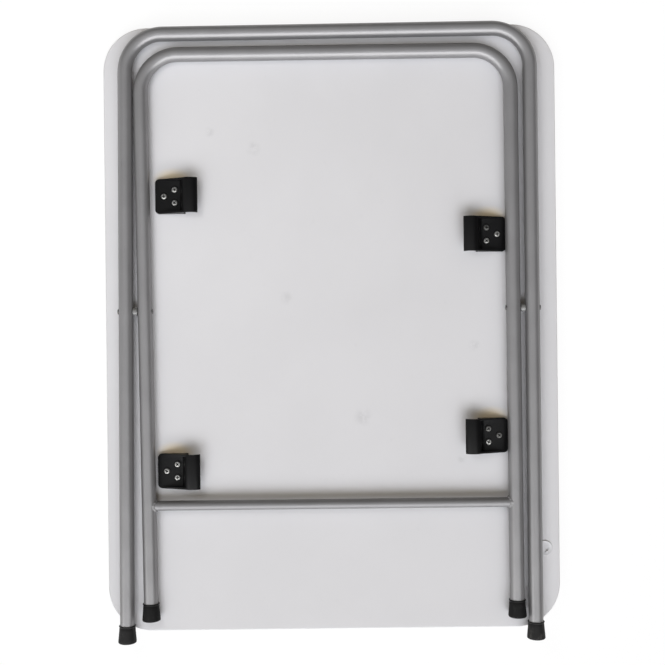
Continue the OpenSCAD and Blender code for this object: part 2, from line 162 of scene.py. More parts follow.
@dataclass
class Recipe:
    """A node tree under construction."""

    tree: bpy.types.NodeTree

    @staticmethod
    def _pick(sockets: Iterable[bpy.types.NodeSocket], key: int | str) -> bpy.types.NodeSocket:
        """Finds one of a node's sockets.

        Args:
            sockets: The node's inputs or outputs.
            key: The socket's place, identifier or name; an empty name is the first shown.

        Returns:
            The socket.
        """
        listed = list(sockets)
        if isinstance(key, int):
            return listed[key]
        shown = [socket for socket in listed if socket.enabled]
        by_identifier = [socket for socket in listed if socket.identifier == key]
        by_name = [socket for socket in shown if key in ("", socket.name)]
        return (by_identifier + by_name)[0]

    def node(
        self,
        kind: str,
        settings: Mapping[str, object] | None = None,
        sockets: Mapping[int | str, object] | None = None,
        out: int | str = "",
    ) -> Channel:
        """Adds a node.

        Args:
            kind: The node's type.
            settings: Its settings, made before its sockets.
            sockets: Values or links of its input sockets.
            out: The output to return.

        Returns:
            The chosen output.
        """
        made = self.tree.nodes.new(kind)
        for key, value in (settings or {}).items():
            setattr(made, key, value)
        for key, value in (sockets or {}).items():
            socket = self._pick(made.inputs, key)
            if isinstance(value, Channel):
                self.tree.links.new(value.socket, socket)
            else:
                socket.default_value = (*value, 1.0) if socket.type == "RGBA" else value
        return Channel(self, self._pick(made.outputs, out) if made.outputs else None)

    def place(self) -> Channel:
        """Returns the position in the row frame, in metres, which rides with the piece."""
        return self.node("ShaderNodeTexCoord", out="Object")

    def stretched(self, place: Channel, scale: Sequence[float]) -> Channel:
        """Returns a position scaled by its own factor along each axis."""
        sockets = {0: place, 1: tuple(scale)}
        return self.node("ShaderNodeVectorMath", {"operation": "MULTIPLY"}, sockets)

    def distance(self, place: Channel, point: Sequence[float]) -> Channel:
        """Returns the distance in metres from a position to a point."""
        sockets = {0: place, 1: tuple(point)}
        return self.node("ShaderNodeVectorMath", {"operation": "DISTANCE"}, sockets, "Value")

    def noise(
        self, place: Channel, size: float, detail: float = 2.0, rough: float = 0.5
    ) -> Channel:
        """Returns cloudy noise.

        Args:
            place: The position that it is read at.
            size: The size of its larger blots in millimetres.
            detail: How many finer layers it has.
            rough: How strong the finer layers are.

        Returns:
            A value around 0.5.
        """
        sockets = {"Vector": place, "Scale": 1 / (size * MM), "Detail": detail, "Roughness": rough}
        return self.node("ShaderNodeTexNoise", None, sockets, 0)

    def cells(self, place: Channel, size: float) -> Channel:
        """Returns the distance to the nearest of scattered points that lie about a size apart."""
        sockets = {"Vector": place, "Scale": 1 / (size * MM)}
        return self.node("ShaderNodeTexVoronoi", None, sockets, "Distance")

    def mix(
        self, factor: Channel | float, first: Channel | Color, second: Channel | Color
    ) -> Channel:
        """Returns a colour between two colours."""
        sockets = {"Factor_Float": factor, "A_Color": first, "B_Color": second}
        return self.node("ShaderNodeMix", {"data_type": "RGBA"}, sockets, "Result_Color")

    def background_ray(self) -> Channel:
        """Tells the rays that show the background from those that light the object.

        Returns:
            1 for camera, glossy and transmission rays, and 0 for the others.
        """
        names = ("Is Camera Ray", "Is Glossy Ray", "Is Transmission Ray")
        camera, glossy, through = (self.node("ShaderNodeLightPath", out=name) for name in names)
        return 1.0 - (1.0 - camera) * (1.0 - glossy) * (1.0 - through)


def emptied(block: bpy.types.Material | bpy.types.World) -> Recipe:
    """Clears the node tree of a material or a world.

    Args:
        block: The material or world.

    Returns:
        The recipe that fills its tree.
    """
    block.use_nodes = True
    block.node_tree.nodes.clear()
    return Recipe(block.node_tree)


# --- Finishes -------------------------------------------------------------------------


@dataclass
class Look:
    """What varies over a finish's surface; relief runs from 0 to 1 over its depth."""

    color: Channel | Color
    roughness: Channel | float
    metallic: Channel | float = 0.0
    relief: Channel | None = None
    relief_depth: float = 0.0


def tinted(color: Color, factor: float) -> Color:
    """Returns a colour made lighter or darker by a factor."""
    return (color[0] * factor, color[1] * factor, color[2] * factor)


@dataclass(frozen=True)
class Finish:
    """A finish: its name, the record's slot, and the plain values that its look varies."""

    name: str
    slot: Slot
    color: Color
    roughness: float
    metallic: float = 0.0
    specular: float = 0.5
    coat: float = 0.0
    edge: float = 1.0

    def look(self, recipe: Recipe) -> Look:
        """Returns the look; each kind of finish has its own."""
        return Look(self.color, self.roughness, self.metallic)

    def material(self) -> bpy.types.Material:
        """Makes the finish's material when it is first asked for.

        Returns:
            The material.
        """
        found = bpy.data.materials.get(self.name)
        if found:
            return found
        made = bpy.data.materials.new(self.name)
        recipe = emptied(made)
        look = self.look(recipe)
        sockets: dict[int | str, object] = {
            "Base Color": look.color,
            "Roughness": look.roughness,
            "Metallic": look.metallic,
            "Specular IOR Level": self.specular,
            "Specular Tint": (self.edge,) * 3,
            "Coat Weight": self.coat,
            "Coat Roughness": self.roughness / 2,
        }
        if look.relief:
            bump = {"Strength": 1.0, "Distance": look.relief_depth * MM, "Height": look.relief}
            sockets["Normal"] = recipe.node("ShaderNodeBump", None, bump)
        shader = recipe.node("ShaderNodeBsdfPrincipled", None, sockets)
        recipe.node("ShaderNodeOutputMaterial", None, {"Surface": shader})
        return made


@dataclass(frozen=True)
class MouldedWhite(Finish):
    """Blow-moulded white plastic: a fine pebbled grain, faint clouds, a few rubbed marks, and a
    painted warm shadow above each hook.
    """

    grain_size: float = 1.1
    grain_rough: float = 0.12
    cloud_size: float = 130.0
    cloud_tints: tuple[float, float] = (0.985, 1.012)
    fleck_size: float = 9.0
    fleck_wear: float = 0.12
    wave_size: float = 45.0
    wave_rise: float = 4.0
    marks: tuple[tuple[float, float, float], ...] = ()
    mark_wear: float = 0.5
    mark_z: float = 25.0
    worn_tint: float = 0.78
    worn_rough: float = 0.3
    # The hooks above whose upper edges a painted shadow is drawn: a warm tinted shade close by and
    # a broader darkening further out.
    hook_shadow_nodes: tuple[str, ...] = ()
    shadow_squeeze: float = 0.6
    stain_shift: float = 7.0
    warm_shade_reach: tuple[float, float] = (18.0, 4.0)
    warm_shade_tint: Color = (1.0, 0.87, 0.64)
    painted_shadow_reach: tuple[float, float] = (34.0, 10.0)
    painted_shadow_strength: float = 0.12
    relief_depth: float = 0.05

    def shadow_distance(self, recipe: Recipe, place: Channel, node: str) -> Channel:
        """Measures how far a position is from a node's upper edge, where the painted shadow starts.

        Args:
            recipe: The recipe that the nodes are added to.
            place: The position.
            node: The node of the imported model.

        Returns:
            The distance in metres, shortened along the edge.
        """
        low, high = box_mm(node)
        outwards = (low.x + high.x) / 2 + math.copysign(self.stain_shift, low.x)
        middle = (self.shadow_squeeze * outwards, high.y, self.mark_z)
        squeezed = recipe.stretched(place, (self.shadow_squeeze, 1.0, 1.0))
        return recipe.distance(squeezed, tuple(value * MM for value in middle))

    def look(self, recipe: Recipe) -> Look:
        """Makes the plastic's look.

        Args:
            recipe: The recipe that the nodes are added to.

        Returns:
            The look.
        """
        place = recipe.place()
        cloud = recipe.noise(place, self.cloud_size, detail=3.0)
        fleck = recipe.noise(place, self.fleck_size, detail=4.0, rough=0.6)
        dark, light = (tinted(self.color, tint) for tint in self.cloud_tints)
        color = recipe.mix(cloud.smooth(0.3, 0.7), dark, light)
        rubbed = fleck.smooth(0.62, 0.8) * self.fleck_wear
        for x, y, radius in self.marks:
            spot = recipe.distance(place, (x * MM, y * MM, self.mark_z * MM))
            worn = spot.smooth(radius * MM, 0.0) * fleck.smooth(0.35, 0.6)
            rubbed = rubbed + worn * self.mark_wear
        color = recipe.mix(rubbed, color, tinted(self.color, self.worn_tint))
        # Painted shadow above each hook: darkened towards black, then tinted warm and darker still
        # near the edge.
        warm_shade: Channel | float = 0.0
        painted_shadow: Channel | float = 0.0
        for node in self.hook_shadow_nodes:
            away = self.shadow_distance(recipe, place, node)
            warm_shade = warm_shade + away.smooth(*(reach * MM for reach in self.warm_shade_reach))
            shaded = away.smooth(*(reach * MM for reach in self.painted_shadow_reach))
            painted_shadow = painted_shadow + shaded * self.painted_shadow_strength
        if self.hook_shadow_nodes:
            red, green, blue = (value * tint for value, tint in zip(self.color, self.warm_shade_tint))
            color = recipe.mix(painted_shadow, color, (0.0, 0.0, 0.0))
            color = recipe.mix(warm_shade, color, (red, green, blue))
        grain = recipe.noise(place, self.grain_size)
        waves = recipe.noise(place, self.wave_size, detail=1.0)
        roughness = self.roughness + (grain - 0.5) * self.grain_rough + rubbed * self.worn_rough
        return Look(color, roughness, 0.0, grain + waves * self.wave_rise, self.relief_depth)


@dataclass(frozen=True)
class SilverPaint(Finish):
    """Silver powder paint on steel tube: fine flake, a soft orange peel and light scuffs."""

    flake_size: float = 0.45
    flake_tint: float = 1.18
    flake_rise: float = 0.15
    blot_size: float = 34.0
    blot_tints: tuple[float, float] = (0.94, 1.05)
    blot_rough: float = 0.14
    peel_size: float = 2.4
    scratch_size: float = 1.6
    draw_line_size: float = 2.6
    wear_size: float = 60.0
    scuff_tint: float = 0.62
    scuff_rough: float = 0.2
    grit_size: float = 0.7
    grit_rise: float = 0.1
    weld_grit_rise: float = 6.0
    lay: tuple[float, float, float] = (1.0, 0.04, 1.0)
    lay_depth: float = 1.2
    coarse: float = 0.0
    relief_depth: float = 0.03

    def look(self, recipe: Recipe) -> Look:
        """Makes the paint's look; coarse makes it the rough skin over a weld.

        Args:
            recipe: The recipe that the nodes are added to.

        Returns:
            The look.
        """
        place = recipe.place()
        flake = recipe.cells(place, self.flake_size)
        blot = recipe.noise(place, self.blot_size, detail=3.0)
        dark, light = (tinted(self.color, tint) for tint in self.blot_tints)
        color = recipe.mix(blot.smooth(0.3, 0.7), dark, light)
        glint = tinted(self.color, self.flake_tint)
        color = recipe.mix(flake.smooth(0.1, 0.55) * 0.5, glint, color)
        drawn = recipe.stretched(place, self.lay)
        scratch = recipe.noise(drawn, self.scratch_size, detail=3.0, rough=0.7)
        draw_line = recipe.noise(drawn, self.draw_line_size, rough=0.6)
        worn = recipe.noise(place, self.wear_size).smooth(0.52, 0.68)
        scuff = scratch.smooth(0.63, 0.72) * worn
        color = recipe.mix(scuff * 0.5, color, tinted(self.color, self.scuff_tint))
        peel = recipe.noise(place, self.peel_size, detail=1.5)
        grit = recipe.noise(place, self.grit_size, detail=3.0, rough=0.7)
        roughness = self.roughness + (blot - 0.5) * self.blot_rough + scuff * self.scuff_rough
        relief = peel + flake * self.flake_rise + draw_line * self.lay_depth
        relief = relief + grit * (self.grit_rise + self.weld_grit_rise * self.coarse)
        return Look(color, roughness, self.metallic, relief, self.relief_depth)


@dataclass(frozen=True)
class BlackPlastic(Finish):
    """Satin black moulded plastic with a fine spark-eroded grain and rubbed high spots."""

    grain_size: float = 0.6
    cloud_size: float = 14.0
    cloud_tints: tuple[float, float] = (0.75, 1.25)
    dust_size: float = 4.0
    dust_tint: float = 3.0
    dustiness: float = 0.25
    relief_depth: float = 0.02

    def look(self, recipe: Recipe) -> Look:
        """Makes the plastic's look.

        Args:
            recipe: The recipe that the nodes are added to.

        Returns:
            The look.
        """
        place = recipe.place()
        cloud = recipe.noise(place, self.cloud_size, detail=3.0)
        grain = recipe.noise(place, self.grain_size)
        dust = recipe.noise(place, self.dust_size, detail=5.0, rough=0.7).smooth(0.58, 0.8)
        dark, light = (tinted(self.color, tint) for tint in self.cloud_tints)
        color = recipe.mix(cloud, dark, light)
        color = recipe.mix(dust * self.dustiness, color, tinted(self.color, self.dust_tint))
        roughness = self.roughness + (grain - 0.5) * 0.2 + dust * 0.12
        return Look(color, roughness, 0.0, grain, self.relief_depth)


@dataclass(frozen=True)
class Rubber(Finish):
    """Dull black foot rubber with dusty smears and scuffed edges."""

    dust: Color = (0.10, 0.096, 0.09)
    dustiness: float = 0.15
    smear_size: float = 7.0
    smear_lay: tuple[float, float, float] = (1.0, 0.45, 1.0)
    smear_tints: tuple[float, float] = (0.7, 1.35)
    smear_rise: float = 2.0
    grain_size: float = 0.8
    relief_depth: float = 0.04

    def look(self, recipe: Recipe) -> Look:
        """Makes the rubber's look.

        Args:
            recipe: The recipe that the nodes are added to.

        Returns:
            The look.
        """
        place = recipe.place()
        wiped = recipe.stretched(place, self.smear_lay)
        smear = recipe.noise(wiped, self.smear_size, detail=4.0, rough=0.62)
        grain = recipe.noise(place, self.grain_size, detail=3.0, rough=0.6)
        dark, light = (tinted(self.color, tint) for tint in self.smear_tints)
        color = recipe.mix(smear, dark, light)
        color = recipe.mix(smear.smooth(0.52, 0.75) * self.dustiness, color, self.dust)
        roughness = self.roughness + (smear - 0.5) * 0.3
        return Look(color, roughness, 0.0, grain + smear * self.smear_rise, self.relief_depth)


@dataclass(frozen=True)
class PlatedSteel(Finish):
    """Bare or zinc plated steel: turning marks, patches of dullness and dirt in its hollows."""

    dull: Color = (0.32, 0.31, 0.29)
    patch_size: float = 2.6
    patch_rough: float = 0.35
    turning_size: float = 0.5
    turning_lay: tuple[float, float, float] = (1.0, 0.2, 1.0)
    relief_depth: float = 0.01

    def look(self, recipe: Recipe) -> Look:
        """Makes the metal's look.

        Args:
            recipe: The recipe that the nodes are added to.

        Returns:
            The look.
        """
        place = recipe.place()
        patch = recipe.noise(place, self.patch_size, detail=4.0, rough=0.6)
        turned = recipe.noise(recipe.stretched(place, self.turning_lay), self.turning_size)
        color = recipe.mix(patch.smooth(0.45, 0.75), self.color, self.dull)
        roughness = self.roughness + (patch - 0.4) * self.patch_rough
        return Look(color, roughness, self.metallic, turned, self.relief_depth)


@dataclass(frozen=True)
class RecessShade(Finish):
    """Painted shade: a near-black colour on the walls and floor of a driver recess, standing in for
    the shade there.
    """

    speck_size: float = 0.5
    speck_tints: tuple[float, float] = (0.5, 1.6)
    relief_depth: float = 0.05

    def look(self, recipe: Recipe) -> Look:
        """Makes the painted shade's look.

        Args:
            recipe: The recipe that the nodes are added to.

        Returns:
            The look.
        """
        speck = recipe.noise(recipe.place(), self.speck_size, detail=3.0)
        dark, light = (tinted(self.color, tint) for tint in self.speck_tints)
        color = recipe.mix(speck, dark, light)
        return Look(color, self.roughness, self.metallic, speck, self.relief_depth)


@dataclass(frozen=True)
class Nylon(Finish):
    """Off-white nylon, a little waxy, with a faint machined lay."""

    lay_size: float = 1.5
    lay_squeeze: tuple[float, float, float] = (6.0, 1.0, 1.0)
    lay_tint: float = 0.94
    lay_rough: float = 0.15
    relief_depth: float = 0.02

    def look(self, recipe: Recipe) -> Look:
        """Makes the nylon's look.

        Args:
            recipe: The recipe that the nodes are added to.

        Returns:
            The look.
        """
        lay = recipe.noise(recipe.stretched(recipe.place(), self.lay_squeeze), self.lay_size)
        color = recipe.mix(lay, tinted(self.color, self.lay_tint), self.color)
        roughness = self.roughness + (lay - 0.5) * self.lay_rough
        return Look(color, roughness, 0.0, lay, self.relief_depth)


TOP_PLASTIC = MouldedWhite(
    "moulded_white", Slot.WHITE_PLASTIC, (0.745, 0.742, 0.752), roughness=0.46, specular=0.2,
    marks=((-102.0, 240.0, 13.0), (-160.0, 262.0, 9.0), (190.0, -26.0, 10.0), (172.0, -178.0, 8.0),
           (40.0, -120.0, 16.0), (-60.0, 40.0, 11.0)),
    # The four hooks whose shadows are painted on the top.
    hook_shadow_nodes=("hook_wide_upper", "hook_wide_lower", "hook_narrow_upper", "hook_narrow_lower"),
)
TUBE_PAINT = SilverPaint(
    "silver_powder_paint", Slot.SILVER_PAINT, (0.28, 0.277, 0.281), roughness=0.33, metallic=0.5,
    specular=0.2, edge=0.5,
)
STRETCHER_PAINT = SilverPaint(
    "silver_paint_on_stretcher", Slot.SILVER_PAINT, (0.23, 0.228, 0.232), roughness=0.46,
    metallic=0.45, specular=0.2, edge=0.5, lay=(0.04, 1.0, 1.0),
)
WELD_PAINT = SilverPaint(
    "silver_paint_on_weld", Slot.SILVER_PAINT, (0.24, 0.238, 0.24), roughness=0.5, metallic=0.45,
    specular=0.2, edge=0.5, coarse=1.0,
)
HOOK_PLASTIC = BlackPlastic(
    "satin_black", Slot.BLACK_PLASTIC, (0.004, 0.004, 0.0043), roughness=0.38, specular=0.2,
)
FOOT_RUBBER = Rubber(
    "dull_black_rubber", Slot.FOOT_RUBBER, (0.006, 0.0059, 0.006), roughness=0.62, specular=0.15,
)
DUSTY_RUBBER = Rubber(
    "dusty_black_rubber", Slot.FOOT_RUBBER, (0.009, 0.0088, 0.0088), roughness=0.6,
    specular=0.22, dustiness=0.45,
)
SCREW_ZINC = PlatedSteel(
    "bright_zinc", Slot.ZINC_SCREW, (0.58, 0.58, 0.565), roughness=0.34, metallic=1.0,
)
SCREW_DULL = PlatedSteel(
    "dull_zinc", Slot.ZINC_SCREW, (0.17, 0.17, 0.167), roughness=0.5, metallic=0.9,
)
# Painted shade for the driver recesses: a near-black colour where the recess would lie in shadow.
SCREW_RECESS_SHADE = RecessShade(
    "driver_recess_painted_shade", Slot.ZINC_SCREW, (0.010, 0.0097, 0.0095), roughness=0.6, metallic=0.1,
)
RIVET_STEEL = PlatedSteel(
    "dull_rivet_steel", Slot.RIVET_STEEL, (0.16, 0.158, 0.155), roughness=0.42, metallic=0.9,
    patch_size=4.0,
)
SPACER_NYLON = Nylon("waxy_nylon", Slot.NYLON, (0.20, 0.20, 0.195), roughness=0.24, specular=0.8)


# --- Mesh making ----------------------------------------------------------------------


def polar(center: Point2, radius: float, angle: float) -> Point2:
    """Returns the point at a distance and at an angle in degrees from a centre."""
    turn = math.radians(angle)
    return (center[0] + radius * math.cos(turn), center[1] + radius * math.sin(turn))


def turns(steps: int = ROUND) -> list[float]:
    """Returns the angles, in radians, of points evenly round a circle."""
    return [math.tau * i / steps for i in range(steps)]


def spin(angle: float, axis: str | Vector = "Z") -> Matrix:
    """Returns a turn by an angle in degrees about an axis."""
    return Matrix.Rotation(math.radians(angle), 4, axis)


def arc(
    center: Point2, radius: float, start: float, end: float, step: float = ARC_STEP
) -> list[Point2]:
    """Returns points along an arc.

    Args:
        center: The arc's centre.
        radius: Its radius.
        start: The angle it starts at, in degrees.
        end: The angle it ends at, which may be smaller.
        step: The largest angle between two points.

    Returns:
        The points, both ends included.
    """
    count = max(2, math.ceil(abs(end - start) / step))
    return [polar(center, radius, start + (end - start) * i / count) for i in range(count + 1)]


def box_mm(node: str) -> tuple[Vector, Vector]:
    """Returns the lowest and highest corner of a node at rest, in millimetres."""
    low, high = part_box(node)
    return Vector(low) / MM, Vector(high) / MM


def along(start: Vector, direction: Vector, up: Vector = Vector((0, 0, 1))) -> Matrix:
    """Places a frame along a direction.

    Args:
        start: Its origin.
        direction: Where its Z axis runs.
        up: What its X axis lies closest to.

    Returns:
        The frame's place.
    """
    z = direction.normalized()
    x = (up - z * up.dot(z)).normalized()
    return Matrix.Translation(start) @ Matrix((x, z.cross(x), z)).transposed().to_4x4()


@dataclass
class Shape:
    """Points and faces of one piece in millimetres, gathered before its mesh is made."""

    points: list[Vector] = field(default_factory=list)
    faces: list[tuple[int, ...]] = field(default_factory=list)

    def ring(self, points: Iterable[Vector]) -> list[int]:
        """Adds points.

        Args:
            points: The points.

        Returns:
            Their numbers.
        """
        start = len(self.points)
        self.points.extend(points)
        return list(range(start, len(self.points)))

    def band(self, first: list[int], second: list[int]) -> None:
        """Joins two closed rings by faces.

        Args:
            first: The numbers of one ring's points.
            second: Those of the other; a ring of one point gives a fan.
        """
        count = max(len(first), len(second))
        for i in range(count):
            j = (i + 1) % count
            corners = (first[i % len(first)], first[j % len(first)],
                       second[j % len(second)], second[i % len(second)])
            self.faces.append(tuple(dict.fromkeys(corners)))

    def bands(self, rings: Sequence[list[int]], closed: bool = False) -> None:
        """Joins each ring to the next.

        Args:
            rings: The rings in order.
            closed: Whether the last is joined to the first.
        """
        for first, second in zip(rings, rings[1:]):
            self.band(first, second)
        if closed:
            self.band(rings[-1], rings[0])

    def cap(self, ring: list[int]) -> None:
        """Closes a ring with one face."""
        self.faces.append(tuple(ring))

    def solid(self, rings: Sequence[list[int]]) -> None:
        """Joins each ring to the next and closes the first and the last.

        Args:
            rings: The rings in order.
        """
        self.bands(rings)
        self.cap(rings[0])
        self.cap(rings[-1])

    def lathe(
        self, profile: Sequence[Point2], place: Matrix, steps: int = ROUND, closed: bool = False
    ) -> None:
        """Turns a profile about the Z axis of a place.

        Args:
            profile: Points as (radius, height).
            place: The frame whose Z axis it turns about.
            steps: How many points lie round the axis.
            closed: Whether the profile is a loop clear of the axis.
        """
        rings = []
        for radius, height in profile:
            angles = turns(1 if radius < TINY else steps)
            rings.append(self.ring(
                place @ Vector((radius * math.cos(a), radius * math.sin(a), height)) for a in angles
            ))
        self.bands(rings, closed)

    def rod(self, radius: float, low: float, high: float, place: Matrix, steps: int) -> None:
        """Turns a plain round rod about the Z axis of a place, from one height to another."""
        self.lathe([(0.0, low), (radius, low), (radius, high), (0.0, high)], place, steps)

    def prism(self, outline: Sequence[Point2], place: Matrix, low: float, high: float) -> None:
        """Extrudes an outline in a place's XY plane from one height to another."""
        self.solid([self.ring(place @ Vector((*point, height)) for point in outline)
                    for height in (low, high)])

    def piece(self, name: str, sharp: float = 32.0) -> bpy.types.Object:
        """Makes the object, in metres.

        Args:
            name: The object's name.
            sharp: The angle in degrees above which an edge stays crisp.

        Returns:
            The object, linked to the scene.
        """
        mesh = bpy.data.meshes.new(name)
        mesh.from_pydata([tuple(point * MM) for point in self.points], [], self.faces)
        work = bmesh.new()
        work.from_mesh(mesh)
        bmesh.ops.recalc_face_normals(work, faces=work.faces)
        work.to_mesh(mesh)
        work.free()
        made = linked(name, mesh)
        crisp(made, sharp)
        return made


def linked(name: str, data: bpy.types.ID) -> bpy.types.Object:
    """Adds an object to the scene.

    Args:
        name: The object's name.
        data: Its mesh, lamp or camera.

    Returns:
        The object.
    """
    made = bpy.data.objects.new(name, data)
    bpy.context.scene.collection.objects.link(made)
    return made


def crisp(piece: bpy.types.Object, sharp: float) -> None:
    """Shades a piece smoothly, with its edges above an angle in degrees kept crisp."""
    piece.data.shade_smooth()
    piece.data.set_sharp_from_angle(angle=math.radians(sharp))


def settle(piece: bpy.types.Object) -> None:
    """Replaces a piece's mesh by what its modifiers make of it, and clears them.

    Args:
        piece: The piece.
    """
    bpy.context.view_layer.update()
    graph = bpy.context.evaluated_depsgraph_get()
    old = piece.data
    made = bpy.data.meshes.new_from_object(piece.evaluated_get(graph))
    piece.modifiers.clear()
    piece.data = made
    made.materials.clear()
    bpy.data.meshes.remove(old)
    made.name = piece.name


def carve(piece: bpy.types.Object, tool: Shape, operation: str = "DIFFERENCE") -> None:
    """Cuts a tool's shape out of a piece, keeps only what lies in it, or joins it on.

    Args:
        piece: The piece that is changed.
        tool: The closed shape that cuts or is added.
        operation: DIFFERENCE, INTERSECT or UNION.
    """
    cutter = tool.piece("cutter")
    cut = piece.modifiers.new("cut", "BOOLEAN")
    cut.operation = operation
    cut.solver = "EXACT"
    cut.object = cutter
    settle(piece)
    bpy.data.objects.remove(cutter)


def soften(
    piece: bpy.types.Object, radius: float, segments: int = 3, above: float = 40.0
) -> None:
    """Rounds the sharper edges of a piece.

    Args:
        piece: The piece.
        radius: The width of the rounding in millimetres.
        segments: How many faces the rounding has across.
        above: The angle in degrees above which an edge is rounded.
    """
    bevel = piece.modifiers.new("round", "BEVEL")
    bevel.width = radius * MM
    bevel.segments = segments
    bevel.limit_method = "ANGLE"
    bevel.angle_limit = math.radians(above)
    bevel.harden_normals = False
    settle(piece)


def install(piece: bpy.types.Object, body: Body, finish: Finish, *nodes: str) -> None:
    """Dresses a piece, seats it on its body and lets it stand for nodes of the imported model.

    Args:
        piece: The finished piece.
        body: The body that carries it.
        finish: Its main finish.
        nodes: The nodes that it stands for.
    """
    if finish.name not in piece.data.materials:
        piece.data.materials.append(finish.material())
    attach(piece, body.value)
    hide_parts(*nodes)
    LOG.info("%s: %d faces on %s", piece.name, len(piece.data.polygons), body.value)


# --- Tabletop -------------------------------------------------------------------------


@dataclass
class Tabletop:
    """The hollow moulded top with the plug of its blow hole."""

    corner_r: float = 58.0
    corner_steps: int = 24
    rim_r: float = 2.0
    rim_step: float = 11.25
    parting_h: float = 0.8
    wall_inset: float = 0.2
    plug_stem_share: float = 0.69
    plug_rim: float = 0.35
    plug_taper: float = 0.2
    plug_lip: float = 0.9
    plug_dish: float = 0.45
    plug_tilt: float = 3.0
    plug_recess_r: float = 5.0
    plug_recess_depth: float = 0.8
    plug_notch_w: float = 2.5
    plug_notch_turns: tuple[float, float] = (-110.0, -60.0)
    plug_edge_r: float = 0.12

    def outline(self, inset: float, height: float) -> list[Vector]:
        """Draws the top's outline, a rectangle with round corners.

        Args:
            inset: How far it lies inside the widest outline.
            height: The height that it is drawn at.

        Returns:
            Its points.
        """
        _, high = box_mm("tabletop_panel")
        radius = self.corner_r - inset
        loop = []
        for turn, (sx, sy) in enumerate(((1, 1), (-1, 1), (-1, -1), (1, -1))):
            center = (sx * (high.x - self.corner_r), sy * (high.y - self.corner_r))
            loop += arc(center, radius, 90 * turn, 90 * turn + 90, 90 / self.corner_steps)
        return [Vector((x, y, height)) for x, y in loop]

    def rim(self) -> list[Point2]:
        """Draws the section of the top's edge, with the ridge of its parting line.

        Returns:
            Its points as (inset, height), from the working face up.
        """
        thickness = box_mm("tabletop_panel")[1].z
        middle = thickness / 2
        radius, step_in, ridge_h = self.rim_r, self.wall_inset, self.parting_h
        # The arc is drawn out downwards, so that it starts on the working face.
        lower = arc((radius, radius), radius - step_in, 270, 180, self.rim_step)
        lower = [(x, y * (1 - step_in / radius) if y < radius else y) for x, y in lower]
        lower = [(inset, max(0.0, height - step_in * (1 - height / radius)))
                 for inset, height in lower]
        ridge = [(step_in, middle - ridge_h), (step_in / 4, middle - ridge_h / 3), (0.0, middle),
                 (step_in / 4, middle + ridge_h / 3), (step_in, middle + ridge_h)]
        upper = [(inset, thickness - height) for inset, height in reversed(lower)]
        return lower + ridge + upper

    def build_top(self) -> None:
        """Builds the moulding."""
        shape = Shape()
        shape.solid([shape.ring(self.outline(inset, height)) for inset, height in self.rim()])
        install(shape.piece("moulded_top"), Body.TABLETOP, TOP_PLASTIC, "tabletop_panel")

    def build_plug(self) -> None:
        """Builds the plug: a dished disc with a keyed recess, a little askew on its stem."""
        low, high = box_mm("mould_plug")
        underside = box_mm("tabletop_panel")[1].z
        center = (low + high) / 2
        face_r = (high.x - low.x) / 2
        stem_r = face_r * self.plug_stem_share
        face_h = high.z - underside
        crest_r = face_r - self.plug_taper - self.plug_rim
        dish_z = high.z - self.plug_dish
        profile = [(0.0, low.z), (stem_r, low.z), (stem_r, underside), (face_r, underside)]
        profile += arc((crest_r, high.z - self.plug_rim), self.plug_rim, 10, 90, 20)
        profile += [(crest_r - self.plug_lip, dish_z), (0.0, dish_z)]
        shape = Shape()
        seat = Matrix.Translation((center.x, center.y, underside))
        tilt = spin(self.plug_tilt, Vector((1, -1, 0)))
        place = seat @ tilt @ Matrix.Translation((0, 0, -underside))
        shape.lathe(profile, place)
        plug = shape.piece("blow_hole_plug")
        floor = dish_z - self.plug_recess_depth
        over = high.z + face_h
        recess = Shape()
        recess.rod(self.plug_recess_r, floor, over, place, ROUND)
        carve(plug, recess)
        half = self.plug_notch_w / 2
        near, far = self.plug_recess_r - OVERCUT, self.plug_recess_r + half
        for turn in self.plug_notch_turns:
            notch = Shape()
            outline = [(near, -half), (far, -half), (far, half), (near, half)]
            notch.prism(outline, place @ spin(turn), floor, over)
            carve(plug, notch)
        soften(plug, self.plug_edge_r, segments=2, above=50.0)
        crisp(plug, sharp=30.0)
        install(plug, Body.TABLETOP, TOP_PLASTIC, "mould_plug")

    def build(self) -> None:
        """Builds both pieces."""
        self.build_top()
        self.build_plug()


# --- Hooks ----------------------------------------------------------------------------


